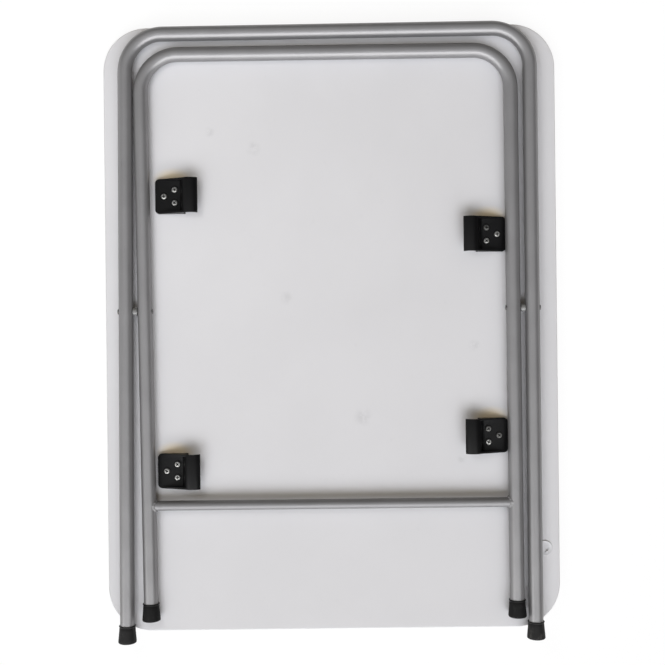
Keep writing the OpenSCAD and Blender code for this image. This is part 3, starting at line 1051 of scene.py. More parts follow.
@dataclass
class BarHook:
    """A moulded hook that a crossbar snaps into, with the three screws of its plate.

    Its own frame has u inwards from the plate's outer edge, v along the bar, w upwards.
    """

    place_name: str
    length: float = 46.0
    plate_l: float = 35.4
    plate_t: float = 4.0
    plate_corner_r: float = 5.5
    corner_step: float = 7.5
    channel_r: float = 9.8
    wall: float = 2.5
    lip_angle: float = 36.0
    root_angle: float = 35.0
    root_fillet: float = 5.0
    gusset_t: float = 2.5
    gusset_start: float = 4.5
    gusset_meet: float = 135.0
    edge_r: float = 0.7
    screw_hole_r: float = 2.3
    screw_places: tuple[Point2, ...] = ((26.1, 8.8), (26.1, -8.8), (11.9, 0.0))
    screw_turns: tuple[float, ...] = (20.0, 57.0, 94.0)
    screw_tilts: tuple[float, ...] = (0.0, 0.0, 0.0)
    dull_screws: tuple[int, ...] = ()

    @property
    def node(self) -> str:
        """The name of the hook's node."""
        return f"hook_{self.place_name}"

    def frame(self) -> Matrix:
        """Finds the hook's own frame.

        Returns:
            Its place.
        """
        low, high = box_mm(self.node)
        middle = (low.y + high.y) / 2
        if high.x < 0:
            return Matrix.Translation((low.x, middle, low.z))
        return Matrix.Translation((high.x, middle, low.z)) @ spin(180.0)

    def section(self) -> list[Point2]:
        """Draws the hook's side: the plate, the arch, its lip and the open root.

        Returns:
            The outline in u and w.
        """
        outer_r = self.channel_r + self.wall
        center = (self.plate_l + outer_r, self.channel_r)
        nose_r = self.wall / 2
        nose = polar(center, self.channel_r + nose_r, self.lip_angle)
        root_u = center[0] - self.channel_r * math.cos(math.radians(self.root_angle))
        fillet = (self.plate_l - self.root_fillet, self.plate_t + self.root_fillet)
        return [
            (0.0, 0.0),
            (root_u, 0.0),
            *arc(center, self.channel_r, 180 + self.root_angle, self.lip_angle),
            *arc(nose, nose_r, self.lip_angle - 180, self.lip_angle, FINE_STEP)[1:-1],
            *arc(center, outer_r, self.lip_angle, 180),
            *arc(fillet, self.root_fillet, 0, -90, FINE_STEP),
            (0.0, self.plate_t),
        ]

    def gusset(self) -> list[Point2]:
        """Draws a side wall, from the plate's corner up to the arch.

        Returns:
            The outline in u and w.
        """
        center = (self.plate_l + self.channel_r + self.wall, self.channel_r)
        inner, outer = (polar(center, radius, self.gusset_meet)
                        for radius in (self.channel_r + self.wall / 2, self.channel_r + self.wall))
        back = self.plate_l + self.wall / 2
        return [(self.gusset_start, self.plate_t / 2), (back, self.plate_t / 2),
                (back, self.channel_r), inner, outer, (self.gusset_start, self.plate_t)]

    def plan(self) -> list[Point2]:
        """Draws the hook from above, with the plate's outer corners rounded.

        Returns:
            The outline in u and v.
        """
        half = self.length / 2
        r = self.plate_corner_r
        end = 2 * self.plate_l
        return [(end, -half), (end, half), *arc((r, half - r), r, 90, 180, self.corner_step),
                *arc((r, r - half), r, 180, 270, self.corner_step)]

    def build_hook(self) -> None:
        """Builds the hook."""
        place = self.frame()
        shape = Shape()
        upright = Matrix(((1, 0, 0, 0), (0, 0, -1, 0), (0, 1, 0, 0), (0, 0, 0, 1)))
        shape.prism(self.section(), place @ upright, -self.length / 2, self.length / 2)
        hook = shape.piece(f"bar_{self.node}")
        for start in (-self.length / 2, self.length / 2 - self.gusset_t):
            wall = Shape()
            wall.prism(self.gusset(), place @ upright, start, start + self.gusset_t)
            carve(hook, wall, "UNION")
        plan = Shape()
        plan.prism(self.plan(), place, -OVERCUT, 2 * self.plate_l)
        carve(hook, plan, "INTERSECT")
        soften(hook, self.edge_r)
        for u, v in self.screw_places:
            hole = Shape()
            hole.rod(self.screw_hole_r, -OVERCUT, self.plate_t + OVERCUT,
                     place @ Matrix.Translation((u, v, 0)), ROUND // 2)
            carve(hook, hole)
        crisp(hook, sharp=30.0)
        install(hook, Body.TABLETOP, HOOK_PLASTIC, self.node)

    def build_screws(self) -> None:
        """Builds the plate's screws as one piece."""
        # The second finish is the painted shade in each driver recess.
        finishes = (SCREW_ZINC, SCREW_RECESS_SHADE, SCREW_DULL)
        bright, dull = finishes.index(SCREW_ZINC), finishes.index(SCREW_DULL)
        pattern = PanScrew().mesh()
        work = bmesh.new()
        place = self.frame()
        drives = zip(self.screw_places, self.screw_turns, self.screw_tilts)
        for number, ((u, v), turn, tilt) in enumerate(drives):
            seat = place @ Matrix.Translation((u, v, self.plate_t)) @ PanScrew.driven(turn, tilt)
            before, faces_before = len(work.verts), len(work.faces)
            work.from_mesh(pattern)
            work.verts.ensure_lookup_table()
            work.faces.ensure_lookup_table()
            for face in work.faces[faces_before:]:
                if number in self.dull_screws and face.material_index == bright:
                    face.material_index = dull
            scale = Matrix.Scale(MM, 4)
            moved = scale @ seat @ scale.inverted()
            bmesh.ops.transform(work, matrix=moved, verts=work.verts[before:])
        mesh = bpy.data.meshes.new(f"plate_screws_{self.place_name}")
        work.to_mesh(mesh)
        work.free()
        for finish in finishes:
            mesh.materials.append(finish.material())
        screws = linked(mesh.name, mesh)
        crisp(screws, sharp=35.0)
        install(screws, Body.TABLETOP, SCREW_ZINC, f"screws_{self.place_name}")

    def build(self) -> None:
        """Builds the hook and its screws."""
        self.build_hook()
        self.build_screws()


@dataclass
class PanScrew:
    """A pan head screw with a cross recess, its head standing on the plane z = 0."""

    head_r: float = 4.0
    head_h: float = 2.8
    head_edge: Point2 = (0.1, 0.12)
    skirt_h: float = 0.7
    flat_r: float = 2.5
    shank_r: float = 1.95
    shank_l: float = 16.0
    point_l: float = 4.0
    point_share: float = 0.35
    point_h: float = 0.6
    recess_w: float = 4.6
    arm_w: float = 1.4
    recess_depth: float = 1.7
    recess_taper: float = 0.45
    recess_flare: float = 1.35
    recess_steep: float = 0.75
    head_steps: int = 40

    @staticmethod
    def driven(turn: float, tilt: float) -> Matrix:
        """Returns how a screw sits that was driven home to a turn, and askew by a tilt."""
        return spin(tilt, "X") @ spin(turn)

    def profile(self) -> list[Point2]:
        """Draws the screw's half section, from the shank's tip to the crown.

        Returns:
            The points as (radius, height).
        """
        rise = self.head_h - self.skirt_h
        reach = self.head_r - self.flat_r
        crown = [(self.flat_r + reach * math.cos(a), self.skirt_h + rise * math.sin(a))
                 for a in (math.radians(10 * i) for i in range(10))]
        return [
            (0.0, -self.shank_l),
            (self.shank_r * self.point_share, -self.shank_l + self.point_h),
            (self.shank_r, -self.shank_l + self.point_l),
            (self.shank_r, 0.0),
            (self.head_r - self.head_edge[0], 0.0),
            (self.head_r, self.head_edge[1]),
            *crown,
            (0.0, self.head_h),
        ]

    def arm(self, turn: float) -> Shape:
        """Makes one bar of the cross recess, narrower and shorter at its floor.

        Args:
            turn: The angle in degrees that it lies at.

        Returns:
            The bar.
        """
        shape = Shape()
        rings = []
        for height, share in ((self.head_h - self.recess_depth, self.recess_taper),
                              (self.head_h + OVERCUT, self.recess_flare)):
            half_l, half_w = self.recess_w / 2 * share, self.arm_w / 2 * (0.5 + share / 2)
            corners = ((-half_l, -half_w), (half_l, -half_w), (half_l, half_w), (-half_l, half_w))
            rings.append(shape.ring(spin(turn) @ Vector((x, y, height)) for x, y in corners))
        shape.solid(rings)
        return shape

    def mesh(self) -> bpy.types.Mesh:
        """Makes the screw's mesh, whose recess walls take the second material, a painted shade.

        Returns:
            The mesh.
        """
        shape = Shape()
        shape.lathe(self.profile(), Matrix.Identity(4), self.head_steps)
        screw = shape.piece("screw_pattern")
        turned_faces = {self._key(face.center) for face in screw.data.polygons}
        for turn in (0.0, 90.0):
            carve(screw, self.arm(turn))
        floor = (self.head_h - self.recess_depth) * MM
        reach = self.recess_w / 2 * MM
        for face in screw.data.polygons:
            x, y, z = face.center
            inside = math.hypot(x, y) < reach and z > floor - TINY
            hollow = face.normal.z < self.recess_steep or z < floor + TINY
            cut = self._key(face.center) not in turned_faces
            face.material_index = int(inside and hollow and cut)
        mesh = screw.data
        bpy.data.objects.remove(screw)
        return mesh

    @staticmethod
    def _key(point: Vector) -> tuple[int, int, int]:
        """Returns a point rounded to a micrometre, to compare faces by."""
        return (round(point.x * MICRO), round(point.y * MICRO), round(point.z * MICRO))


# --- Stand ----------------------------------------------------------------------------


@dataclass
class BentFrame:
    """A U of bent tube whose two legs lean a little, with the caps on its feet."""

    name: str
    body: Body
    span: float
    arm: float
    leg: float
    leans: tuple[float, float]
    bar_lean: float
    pivot: Vector
    cap_finish: Finish
    tube_r: float = TUBE_R
    tube_wall: float = 1.2
    bend_r: float = 50.0
    bend_squash: float = 0.25
    sole_t: float = SOLE_T
    pin_r: float = BORE_R
    pin_clear: float = 2.5
    bend_steps: int = 24

    def lean(self, side: Side) -> float:
        """Returns a leg's lean in radians, foot outwards."""
        return math.radians(self.leans[0 if side is Side.LEFT else 1])

    def leg_direction(self, side: Side) -> Vector:
        """Returns the direction from the pivot down a leg to its foot."""
        lean = self.lean(side)
        return Vector((side.value * math.sin(lean), -math.cos(lean), 0))

    def leg_point(self, side: Side, distance: float) -> Vector:
        """Returns the point of a leg's centre line at a distance down it from the pivot."""
        start = self.pivot + Vector((side.value * self.span / 2, 0, 0))
        return start + self.leg_direction(side) * distance

    def center_line(self) -> list[Station]:
        """Finds stations along the U, from the right foot round to the left foot.

        Returns:
            Each station's point, the direction outwards from the U, and how much it is squashed.
        """
        right, left = self.half_line(Side.RIGHT), self.half_line(Side.LEFT)
        return right + left[::-1]

    def bend_center(self, side: Side) -> Vector:
        """Finds the centre of the bend between a leg and the crossbar.

        Args:
            side: Which leg.

        Returns:
            The centre.
        """
        lean, bar = self.lean(side), math.radians(self.bar_lean)
        sign, r = side.value, self.bend_r
        level = self.arm - r / math.cos(bar)
        out = self.span / 2 - r / math.cos(lean) - math.tan(lean) * level
        out /= 1 + sign * math.tan(lean) * math.tan(bar)
        return self.pivot + Vector((sign * out, level + sign * out * math.tan(bar), 0))

    def half_line(self, side: Side) -> list[Station]:
        """Finds the stations of one leg and its bend, from the foot to the crossbar.

        Args:
            side: Which leg.

        Returns:
            The stations, as in center_line.
        """
        lean = self.lean(side)
        sign = side.value
        outwards = Vector((sign * math.cos(lean), math.sin(lean), 0))
        near_pin = self.pin_clear * self.pin_r
        line = [(self.leg_point(side, distance), outwards, 0.0)
                for distance in (self.leg - self.sole_t, near_pin, -near_pin)]
        center = self.bend_center(side)
        last = math.pi / 2 + sign * math.radians(self.bar_lean)
        for i in range(self.bend_steps + 1):
            share = i / self.bend_steps
            angle = lean + (last - lean) * share
            ray = Vector((sign * math.cos(angle), math.sin(angle), 0))
            line.append((center + ray * self.bend_r, ray, math.sin(math.pi * share) ** 0.5))
        return line

    def build_tube(self) -> None:
        """Builds the bent tube, a little oval in its bends, with pin holes in both legs."""
        shape = Shape()
        line = self.center_line()

        def loop(radius: float, station: Station) -> list[int]:
            """Adds one ring round the centre line.

            Args:
                radius: Its radius where the tube isn't squashed.
                station: The station that it stands at.

            Returns:
                The numbers of its points.
            """
            point, outwards, squash = station
            across = radius - self.bend_squash * squash
            return shape.ring(
                point + outwards * across * math.cos(a) + Vector((0, 0, radius * math.sin(a)))
                for a in turns()
            )

        rings = [loop(self.tube_r, station) for station in line]
        rings += [loop(self.tube_r - self.tube_wall, station) for station in reversed(line)]
        shape.bands(rings, closed=True)
        tube = shape.piece(f"{self.name}_bent_tube")
        drill = Shape()
        reach = self.span / 2 + 2 * self.tube_r
        drill.rod(self.pin_r, -reach, reach, along(self.pivot, Vector((1, 0, 0))), ROUND // 2)
        carve(tube, drill)
        crisp(tube, sharp=32.0)
        install(tube, self.body, TUBE_PAINT, f"{self.name}_frame_tube")

    def build(self) -> None:
        """Builds the tube and its two foot caps."""
        self.build_tube()
        for side in Side:
            cap = FootCap(f"foot_{self.name}_{side.name.lower()}", self.body, self.cap_finish)
            cap.build(self.leg_point(side, self.leg), -self.leg_direction(side))


@dataclass
class FootCap:
    """A rubber cap with a lip at its mouth and a rounded sole.

    A pair in flank is how far the side stands out from the sole's radius, and its share of
    the cap's height; neck_start is the same from the neck's radius. A pair in mouth_ease is
    how far the socket's wall is set back, and how far below the rim.
    """

    node: str
    body: Body
    finish: Finish
    mouth_r: float = 10.9
    neck_r: float = 10.55
    sole_r: float = SOLE_R
    height: float = 23.0
    sole_t: float = SOLE_T
    sole_edge: float = 1.6
    sole_dish: float = 0.5
    dish_shares: tuple[float, float] = (0.45, 0.5)
    flank: tuple[Point2, ...] = ((-0.1, 0.16), (-0.55, 0.36))
    neck_start: Point2 = (0.25, 0.66)
    lip_h: float = 1.6
    lip_out: float = 0.15
    lip_arc: tuple[float, float] = (-50, 110)
    groove: float = 0.45
    groove_lips: tuple[float, float] = (2.3, 1.6)
    socket_r: float = 9.55
    mouth_ease: tuple[Point2, ...] = ((0.35, 0.25), (0.0, 0.8))

    def build(self, sole: Vector, up_the_leg: Vector) -> None:
        """Builds the cap.

        Args:
            sole: The middle of its sole.
            up_the_leg: The direction from the sole up the leg.
        """
        lip_r = self.lip_h / 2
        mouth = self.mouth_r + self.lip_out
        profile = [
            (0.0, self.sole_dish),
            (self.sole_r * self.dish_shares[0], self.sole_dish),
            (self.sole_r * self.dish_shares[1], 0.0),
            *arc((self.sole_r - self.sole_edge, self.sole_edge), self.sole_edge, 270, 360, 15),
            *((self.sole_r + out, self.height * share) for out, share in self.flank),
            (self.neck_r + self.neck_start[0], self.height * self.neck_start[1]),
            (self.neck_r, self.height - self.groove_lips[0] * self.lip_h),
            (self.neck_r - self.groove, self.height - self.groove_lips[1] * self.lip_h),
            *arc((mouth - lip_r, self.height - lip_r), lip_r, *self.lip_arc, 20),
            *((self.socket_r + back, self.height - down) for back, down in self.mouth_ease),
            (self.socket_r, self.sole_t),
            (0.0, self.sole_t),
        ]
        shape = Shape()
        shape.lathe(profile, along(sole, up_the_leg))
        cap = shape.piece(f"{self.node}_cap", sharp=50.0)
        install(cap, self.body, self.finish, self.node)


@dataclass
class Stretcher:
    """The cross tube between the inner legs, with its two weld beads."""

    frame: BentFrame
    arm: float = 256.5
    radius: float = 6.5
    wall: float = 1.0
    gap: float = 0.02
    bead_w: float = 1.7
    bead_root: float = 0.4
    bead_rise: float = 1.05
    bead_roundness: float = 0.8
    bead_swell: tuple[float, float] = (0.85, 1.12)
    bead_scale: tuple[float, float] = (0.80, 0.28)
    bead_sag: float = 0.08
    bead_ripples: int = 11
    bead_steps: int = 132
    bead_facets: int = 6
    spatter_count: int = 6
    spatter_r: tuple[float, float] = (0.3, 0.75)
    spatter_off: tuple[float, float] = (4.5, 15.0)
    spatter_angle: tuple[float, float] = (20, 160)
    spatter_sunk: float = 0.3
    seed: int = 7

    def leg_face(self, side: Side, across: float, height: float) -> float:
        """Returns the X of the leg's inner face beside the stretcher.

        Args:
            side: Which leg.
            across: The distance above the stretcher's axis along Y.
            height: The distance above its axis along Z.

        Returns:
            The X, in millimetres.
        """
        lean = self.frame.lean(side)
        out = self.frame.span / 2 + (self.arm - across) * math.tan(lean)
        center = self.frame.pivot.x + side.value * out
        half_chord = math.sqrt(max(self.frame.tube_r**2 - height**2, 0))
        return center - side.value * half_chord / math.cos(lean)

    def rim_point(self, side: Side, radius: float, angle: float, off: float) -> Vector:
        """Finds a point round the stretcher's end.

        Args:
            side: Which end.
            radius: Its distance from the stretcher's axis.
            angle: Where it lies round the axis, in radians.
            off: How far it stands off the leg's face.

        Returns:
            The point.
        """
        across, height = radius * math.cos(angle), radius * math.sin(angle)
        x = self.leg_face(side, across, height) - side.value * off
        return Vector((x, self.frame.pivot.y - self.arm + across, self.frame.pivot.z + height))

    def build_tube(self) -> None:
        """Builds the tube, its ends coped to the legs."""
        shape = Shape()
        rings = []
        for radius, sides in ((self.radius, (Side.LEFT, Side.RIGHT)),
                              (self.radius - self.wall, (Side.RIGHT, Side.LEFT))):
            for side in sides:
                rings.append(shape.ring(self.rim_point(side, radius, a, self.gap) for a in turns()))
        shape.bands(rings, closed=True)
        install(shape.piece("stretcher_tube"), self.frame.body, STRETCHER_PAINT, "inner_stretcher")

    def bead_section(self, height: float, width: float) -> list[Point2]:
        """Draws the bead's section at one place.

        Args:
            height: What its height is a share of.
            width: Its width along the leg.

        Returns:
            The points as (radius, distance off the leg's face).
        """
        root = self.radius - self.bead_root
        section = [(root, -self.bead_root), (self.radius + width, -self.bead_root)]
        for facet in range(self.bead_facets + 1):
            turn = math.pi / 2 * facet / self.bead_facets
            last = facet == self.bead_facets
            out = 0.0 if last else width * math.cos(turn) ** self.bead_roundness
            up = height * self.bead_rise * math.sin(turn) ** self.bead_roundness
            section.append((self.radius + out, up))
        return [*section, (root, height * self.bead_rise)]

    def build_bead(self, side: Side) -> None:
        """Builds one weld bead, rippled like fish scales, with the spatter beside it.

        Args:
            side: Which end of the stretcher it is at.
        """
        draw = random.Random(self.seed + side.value)
        shape = Shape()
        rings = []
        sag_phase = draw.uniform(0, math.tau)
        swell = [draw.uniform(*self.bead_swell) for _ in range(self.bead_ripples)]
        for angle in turns(self.bead_steps):
            ripple = self.bead_ripples * angle / math.tau
            scale = self.bead_scale[0] + self.bead_scale[1] * abs(math.sin(math.pi * ripple))
            width = self.bead_w * swell[int(ripple) % self.bead_ripples] * scale
            sag = 1 + self.bead_sag * math.sin(angle + sag_phase)
            section = self.bead_section(width, width * sag)
            rings.append(shape.ring(self.rim_point(side, r, angle, off) for r, off in section))
        shape.bands(rings, closed=True)
        for _ in range(self.spatter_count):
            self.add_spatter(shape, side, draw)
        name = side.name.lower()
        bead = shape.piece(f"weld_bead_{name}", sharp=60.0)
        install(bead, self.frame.body, WELD_PAINT, f"stretcher_weld_{name}")

    def add_spatter(self, shape: Shape, side: Side, draw: random.Random) -> None:
        """Adds one drop of weld spatter, stuck to the upper half of the stretcher.

        Args:
            shape: The shape that it is added to.
            side: Which end of the stretcher it is at.
            draw: What draws its size and place.
        """
        size = draw.uniform(*self.spatter_r)
        off = draw.uniform(*self.spatter_off)
        angle = math.radians(draw.uniform(*self.spatter_angle))
        seat = self.rim_point(side, self.radius - size * self.spatter_sunk, angle, off)
        out = Vector((0, math.cos(angle), math.sin(angle)))
        ball = [(max(size * math.sin(math.radians(a)), 0.0), -size * math.cos(math.radians(a)))
                for a in range(0, 181, 30)]
        shape.lathe(ball, along(seat, out, Vector((1, 0, 0))), 10)

    def build(self) -> None:
        """Builds the tube and both beads."""
        self.build_tube()
        for side in Side:
            self.build_bead(side)


@dataclass
class Pivot:
    """The rivet through a pair of legs, and the spacer between them."""

    side: Side
    pivot: Vector
    outer_span: float
    inner_span: float
    tube_r: float = TUBE_R
    play: float = 0.3
    shank_r: float = 3.0
    head_r: float = 3.5
    head_h: float = 1.3
    lip_share: float = 0.22
    lip_round: float = 0.4
    head_edge: float = 0.15
    tail_r: float = 3.4
    tail_h: float = 0.8
    dimple_r: float = 1.3
    dimple_shares: tuple[float, float] = (0.45, 0.55)
    spacer_r: float = 5.5
    spacer_l: float = 5.5
    spacer_rim: float = 0.45
    bore_r: float = BORE_R
    steps: int = 48

    def place(self) -> Matrix:
        """Returns the frame at the pivot whose Z runs outwards through the legs."""
        return along(self.pivot, Vector((self.side.value, 0, 0)))

    def dome(self, radius: float, height: float, base: float, sign: int) -> list[Point2]:
        """Returns a head's rounded section, from its rim to its crown.

        Args:
            radius: The head's radius.
            height: Its height.
            base: Where it stands along the axis.
            sign: Which way it bulges.

        Returns:
            The points as (radius, height).
        """
        lip = height * self.lip_share
        rounded = [(radius * math.cos(a), base + sign * (lip + (height - lip) * math.sin(a)))
                   for a in (math.radians(10 * i) for i in range(9))]
        edge = [(radius - self.head_edge, base), (radius, base + sign * lip * self.lip_round)]
        return [*edge, *rounded, (0.0, base + sign * height)]

    def build_rivet(self) -> None:
        """Builds the rivet, its factory head outside and its clenched head inside."""
        outer_face = self.outer_span / 2 + self.tube_r + self.play
        inner_face = self.inner_span / 2 - self.tube_r - self.play
        rim, *crown = self.dome(self.tail_r, self.tail_h, inner_face, -1)
        dimple = [(radius, inner_face - self.tail_h * share)
                  for radius, share in zip((0.0, self.dimple_r), self.dimple_shares)]
        tail = [*dimple, *crown[-3::-1], rim]
        head = self.dome(self.head_r, self.head_h, outer_face, 1)
        profile = [*tail, (self.shank_r, inner_face), (self.shank_r, outer_face), *head]
        shape = Shape()
        shape.lathe(profile, self.place(), self.steps)
        name = self.side.name.lower()
        rivet = shape.piece(f"rivet_{name}", sharp=40.0)
        install(rivet, Body.STAND_PIVOT, RIVET_STEEL, f"pivot_rivet_{name}")

    def build_spacer(self) -> None:
        """Builds the spacer, a short bush with chamfered rims."""
        middle = (self.outer_span + self.inner_span) / 4
        half, rim = self.spacer_l / 2, self.spacer_rim
        profile = [
            (self.bore_r, middle - half + rim / 2), (self.bore_r + rim / 2, middle - half),
            *arc((self.spacer_r - rim, middle - half + rim), rim, 270, 360, FINE_STEP),
            *arc((self.spacer_r - rim, middle + half - rim), rim, 0, 90, FINE_STEP),
            (self.bore_r + rim / 2, middle + half), (self.bore_r, middle + half - rim / 2),
        ]
        shape = Shape()
        shape.lathe(profile, self.place(), self.steps, closed=True)
        name = self.side.name.lower()
        spacer = shape.piece(f"spacer_{name}", sharp=40.0)
        install(spacer, Body.STAND_PIVOT, SPACER_NYLON, f"pivot_spacer_{name}")

    def build(self) -> None:
        """Builds the rivet and the spacer."""
        self.build_rivet()
        self.build_spacer()


@dataclass
class Stand:
    """The folded stand: two bent frames crossed at two pivots."""

    stand_x: float = -3.0
    pivot_y: float = 23.5
    outer_span: float = 536.5
    leg_pitch: float = 25.1
    outer_arm: float = 367.5
    inner_arm: float = 339.5
    outer_leg: float = 436.5
    inner_leg_extra: float = 3.0
    bar_spread: float = 370.0
    sole_r: float = SOLE_R
    outer_leans: tuple[float, float] = (0.35, 0.05)
    inner_leans: tuple[float, float] = (-0.6, 0.15)
    outer_bar_lean: float = 0.4
    inner_bar_lean: float = 0.2

    def inner_leg(self) -> float:
        """Works out the inner legs' length.

        Returns:
            The length, a little more than all soles need to stand level.
        """

        def corner(near: float, far: float) -> float:
            """Returns the slope of the open stand's leg whose arm is near; far is the other arm."""
            spread = self.bar_spread
            return math.acos((near**2 + spread**2 - far**2) / (2 * near * spread))

        outer = corner(self.outer_arm, self.inner_arm)
        inner = corner(self.inner_arm, self.outer_arm)
        reach = self.outer_leg * math.sin(outer) + self.sole_r * (math.cos(outer) - math.cos(inner))
        return self.inner_leg_extra + reach / math.sin(inner)

    def build(self) -> None:
        """Builds both frames, the stretcher and the pivots."""
        rivet_low, rivet_high = box_mm("pivot_rivet_left")
        pivot = Vector((self.stand_x, self.pivot_y, (rivet_low.z + rivet_high.z) / 2))
        inner_span = self.outer_span - 2 * self.leg_pitch
        BentFrame("outer", Body.OUTER_FRAME, self.outer_span, self.outer_arm, self.outer_leg,
                  self.outer_leans, self.outer_bar_lean, pivot, DUSTY_RUBBER).build()
        inner = BentFrame("inner", Body.INNER_FRAME, inner_span, self.inner_arm, self.inner_leg(),
                          self.inner_leans, self.inner_bar_lean, pivot, FOOT_RUBBER)
        inner.build()
        Stretcher(inner).build()
        for side in Side:
            Pivot(side, pivot, self.outer_span, inner_span).build()


# --- Studio ---------------------------------------------------------------------------


@dataclass(frozen=True)
class Card:
    """A glowing card that only gloss shows: its name, its corners in metres and its glow."""

    name: str
    corners: tuple[tuple[float, float, float], ...]
    glow: float

    def build(self) -> None:
        """Builds the card."""
        shape = Shape()
        shape.cap(shape.ring(Vector(corner) / MM for corner in self.corners))
        card = shape.piece(self.name)
        made = bpy.data.materials.new(self.name)
        recipe = emptied(made)
        light = {"Color": (1.0, 1.0, 1.0), "Strength": self.glow}
        shade = recipe.node("ShaderNodeEmission", None, light)
        recipe.node("ShaderNodeOutputMaterial", None, {"Surface": shade})
        card.data.materials.append(made)
        card.visible_camera = False
        card.visible_diffuse = False
        card.visible_shadow = False
        card.visible_transmission = False


@dataclass(frozen=True)
class KeyLamp:
    """One lamp of the key light: its place and width in degrees, and its share of the light."""

    azimuth: float
    elevation: float
    width: float
    share: float


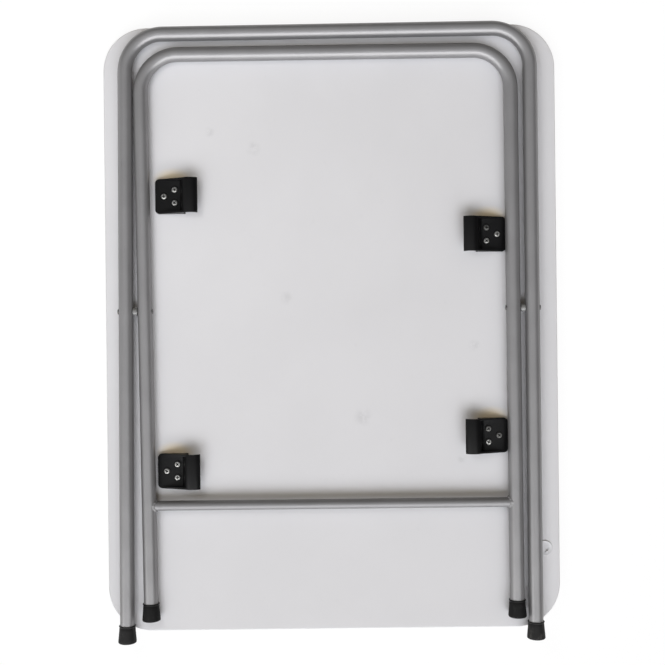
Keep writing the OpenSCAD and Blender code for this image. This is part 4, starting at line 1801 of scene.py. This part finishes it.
@dataclass
class Studio:
    """The floor, the lamps, the cards that the tubes mirror and the camera, in metres."""

    floor_half: float = 30.0
    floor_bounce: float = 0.5
    floor_shown: float = 0.14
    floor_white: float = 0.89
    ambient: Color = (0.150, 0.122, 0.078)
    key_color: Color = (0.968, 1.0, 1.08)
    key_light: float = 1.90
    key_lamps: tuple[KeyLamp, ...] = (
        KeyLamp(-20.0, 38.0, 28.0, share=0.12),
        KeyLamp(20.0, 38.0, 28.0, share=0.12),
        KeyLamp(-20.0, 50.0, 28.0, share=0.13),
        KeyLamp(20.0, 50.0, 28.0, share=0.13),
        KeyLamp(0.0, 62.0, 28.0, share=0.24),
        KeyLamp(-46.0, 42.0, 44.0, share=0.13),
        KeyLamp(46.0, 42.0, 44.0, share=0.13),
    )
    side_place: tuple[float, float, float] = (-0.42, 0.28, 0.95)
    side_size: float = 0.5
    side_power: float = 2.3
    cards: tuple[Card, ...] = (
        Card("far_ceiling_card", ((-6, 0.3, 3), (1.9, 0.3, 3), (1.9, 3, 3), (-6, 3, 3)), 0.38),
        Card("ceiling_card", ((-6, -0.5, 3), (1.9, -0.5, 3), (1.9, 0.3, 3), (-6, 0.3, 3)), 0.72),
        Card("sloping_card", ((-6, -1.9, 3), (3, -1.9, 3), (3, -0.5, 3), (-6, -0.5, 3)), 0.85),
        Card("window_card", ((-6, -3, 1.4), (3, -3, 1.4), (3, -1.9, 3), (-6, -1.9, 3)), 3.6),
        Card("sill_card", ((-6, -3, 0), (3, -3, 0), (3, -3, 1.4), (-6, -3, 1.4)), 1.8),
        Card("back_card", ((-6, 3, 0), (3, 3, 0), (3, 3, 3), (-6, 3, 3)), 0.06),
        Card("left_card", ((-6, -3, 0), (-6, 3, 0), (-6, 3, 3), (-6, -3, 3)), 0.6),
        Card("right_card", ((3, -3, 0), (3, 3, 0), (3, 3, 3), (3, -3, 3)), 0.05),
        Card("right_eave_card", ((1.9, -0.5, 3), (3, -0.5, 3), (3, 3, 3), (1.9, 3, 3)), 0.15),
    )
    camera_place: Vector = field(default_factory=lambda: Vector((0.00102, -0.00685, 1.275)))
    camera_roll: float = -0.63
    lens: float = 50.76
    sensor: float = 36.0

    def build_floor(self) -> None:
        """Builds the floor, white where it is lit and a little darker in the object's shadow."""
        half = self.floor_half / MM
        corners = ((-half, -half), (half, -half), (half, half), (-half, half))
        shape = Shape()
        shape.cap(shape.ring(Vector((x, y, 0)) for x, y in corners))
        floor = shape.piece("studio_floor")
        made = bpy.data.materials.new("pale_floor")
        recipe = emptied(made)
        shown = recipe.background_ray()
        color = recipe.mix(shown, (self.floor_bounce,) * 3, (self.floor_shown,) * 3)
        matt = recipe.node("ShaderNodeBsdfDiffuse", None, {"Color": color})
        glow = recipe.node("ShaderNodeEmission", None, {"Strength": shown * self.floor_white})
        both = recipe.node("ShaderNodeAddShader", None, {0: matt, 1: glow})
        recipe.node("ShaderNodeOutputMaterial", None, {"Surface": both})
        floor.data.materials.append(made)

    def build_world(self) -> None:
        """Sets the soft ambient light, and white where the background is seen."""
        world = bpy.data.worlds.new("studio_world")
        bpy.context.scene.world = world
        recipe = emptied(world)
        color = recipe.mix(recipe.background_ray(), self.ambient, (1.0, 1.0, 1.0))
        sky = recipe.node("ShaderNodeBackground", None, {"Color": color, "Strength": 1.0})
        recipe.node("ShaderNodeOutputWorld", None, {"Surface": sky})

    @staticmethod
    def aimed(lamp: bpy.types.Light, towards: Vector) -> bpy.types.Object:
        """Adds a lamp that gloss doesn't show, aimed at the middle of the table.

        Args:
            lamp: The lamp.
            towards: The direction from the table to the lamp.

        Returns:
            The lamp's object.
        """
        made = linked(lamp.name, lamp)
        made.rotation_mode = "QUATERNION"
        made.rotation_quaternion = towards.to_track_quat("Z", "Y")
        made.visible_glossy = False
        return made

    def build_key(self) -> None:
        """Sets the key light, a broad window beyond the feet of the stand, made of seven lamps."""
        for number, key in enumerate(self.key_lamps):
            turn, tilt = math.radians(key.azimuth), math.radians(key.elevation)
            lamp = bpy.data.lights.new(f"key_lamp_{number}", "SUN")
            lamp.energy = self.key_light * key.share / math.sin(tilt)
            lamp.color = self.key_color
            lamp.angle = math.radians(key.width)
            level = math.cos(tilt)
            towards = (math.sin(turn) * level, -math.cos(turn) * level, math.sin(tilt))
            self.aimed(lamp, Vector(towards))

    def build_side(self) -> None:
        """Sets the near lamp above the left hooks, whose light falls off towards the right."""
        lamp = bpy.data.lights.new("side_lamp", "AREA")
        lamp.shape = "DISK"
        lamp.size = self.side_size
        lamp.energy = self.side_power
        self.aimed(lamp, Vector(self.side_place)).location = self.side_place

    def build_camera(self) -> None:
        """Creates the camera, straight above the underside."""
        lens = bpy.data.cameras.new("camera")
        lens.lens = self.lens
        lens.sensor_width = self.sensor
        lens.dof.use_dof = False
        camera = linked("camera", lens)
        camera.location = self.camera_place
        camera.rotation_euler = (0.0, 0.0, math.radians(self.camera_roll))
        bpy.context.scene.camera = camera

    def build(self) -> None:
        """Builds the whole studio."""
        self.build_floor()
        self.build_world()
        self.build_key()
        self.build_side()
        for card in self.cards:
            card.build()
        self.build_camera()
        bpy.context.scene.view_settings.view_transform = "Standard"


def main() -> None:
    """Builds the studio and every piece of the table."""
    logging.basicConfig(level=logging.INFO, format="%(name)s: %(message)s")
    Studio().build()
    Tabletop().build()
    hooks = (
        BarHook("wide_upper"),
        BarHook("wide_lower", screw_turns=(48.0, 12.0, 71.0)),
        BarHook("narrow_upper", screw_turns=(33.0, 80.0, 5.0), screw_tilts=(0.0, 7.0, 0.0),
                dull_screws=(1,)),
        BarHook("narrow_lower", screw_turns=(64.0, 27.0, 50.0), dull_screws=(1, 2)),
    )
    for hook in hooks:
        hook.build()
    Stand().build()


if __name__ == "__main__":
    main()
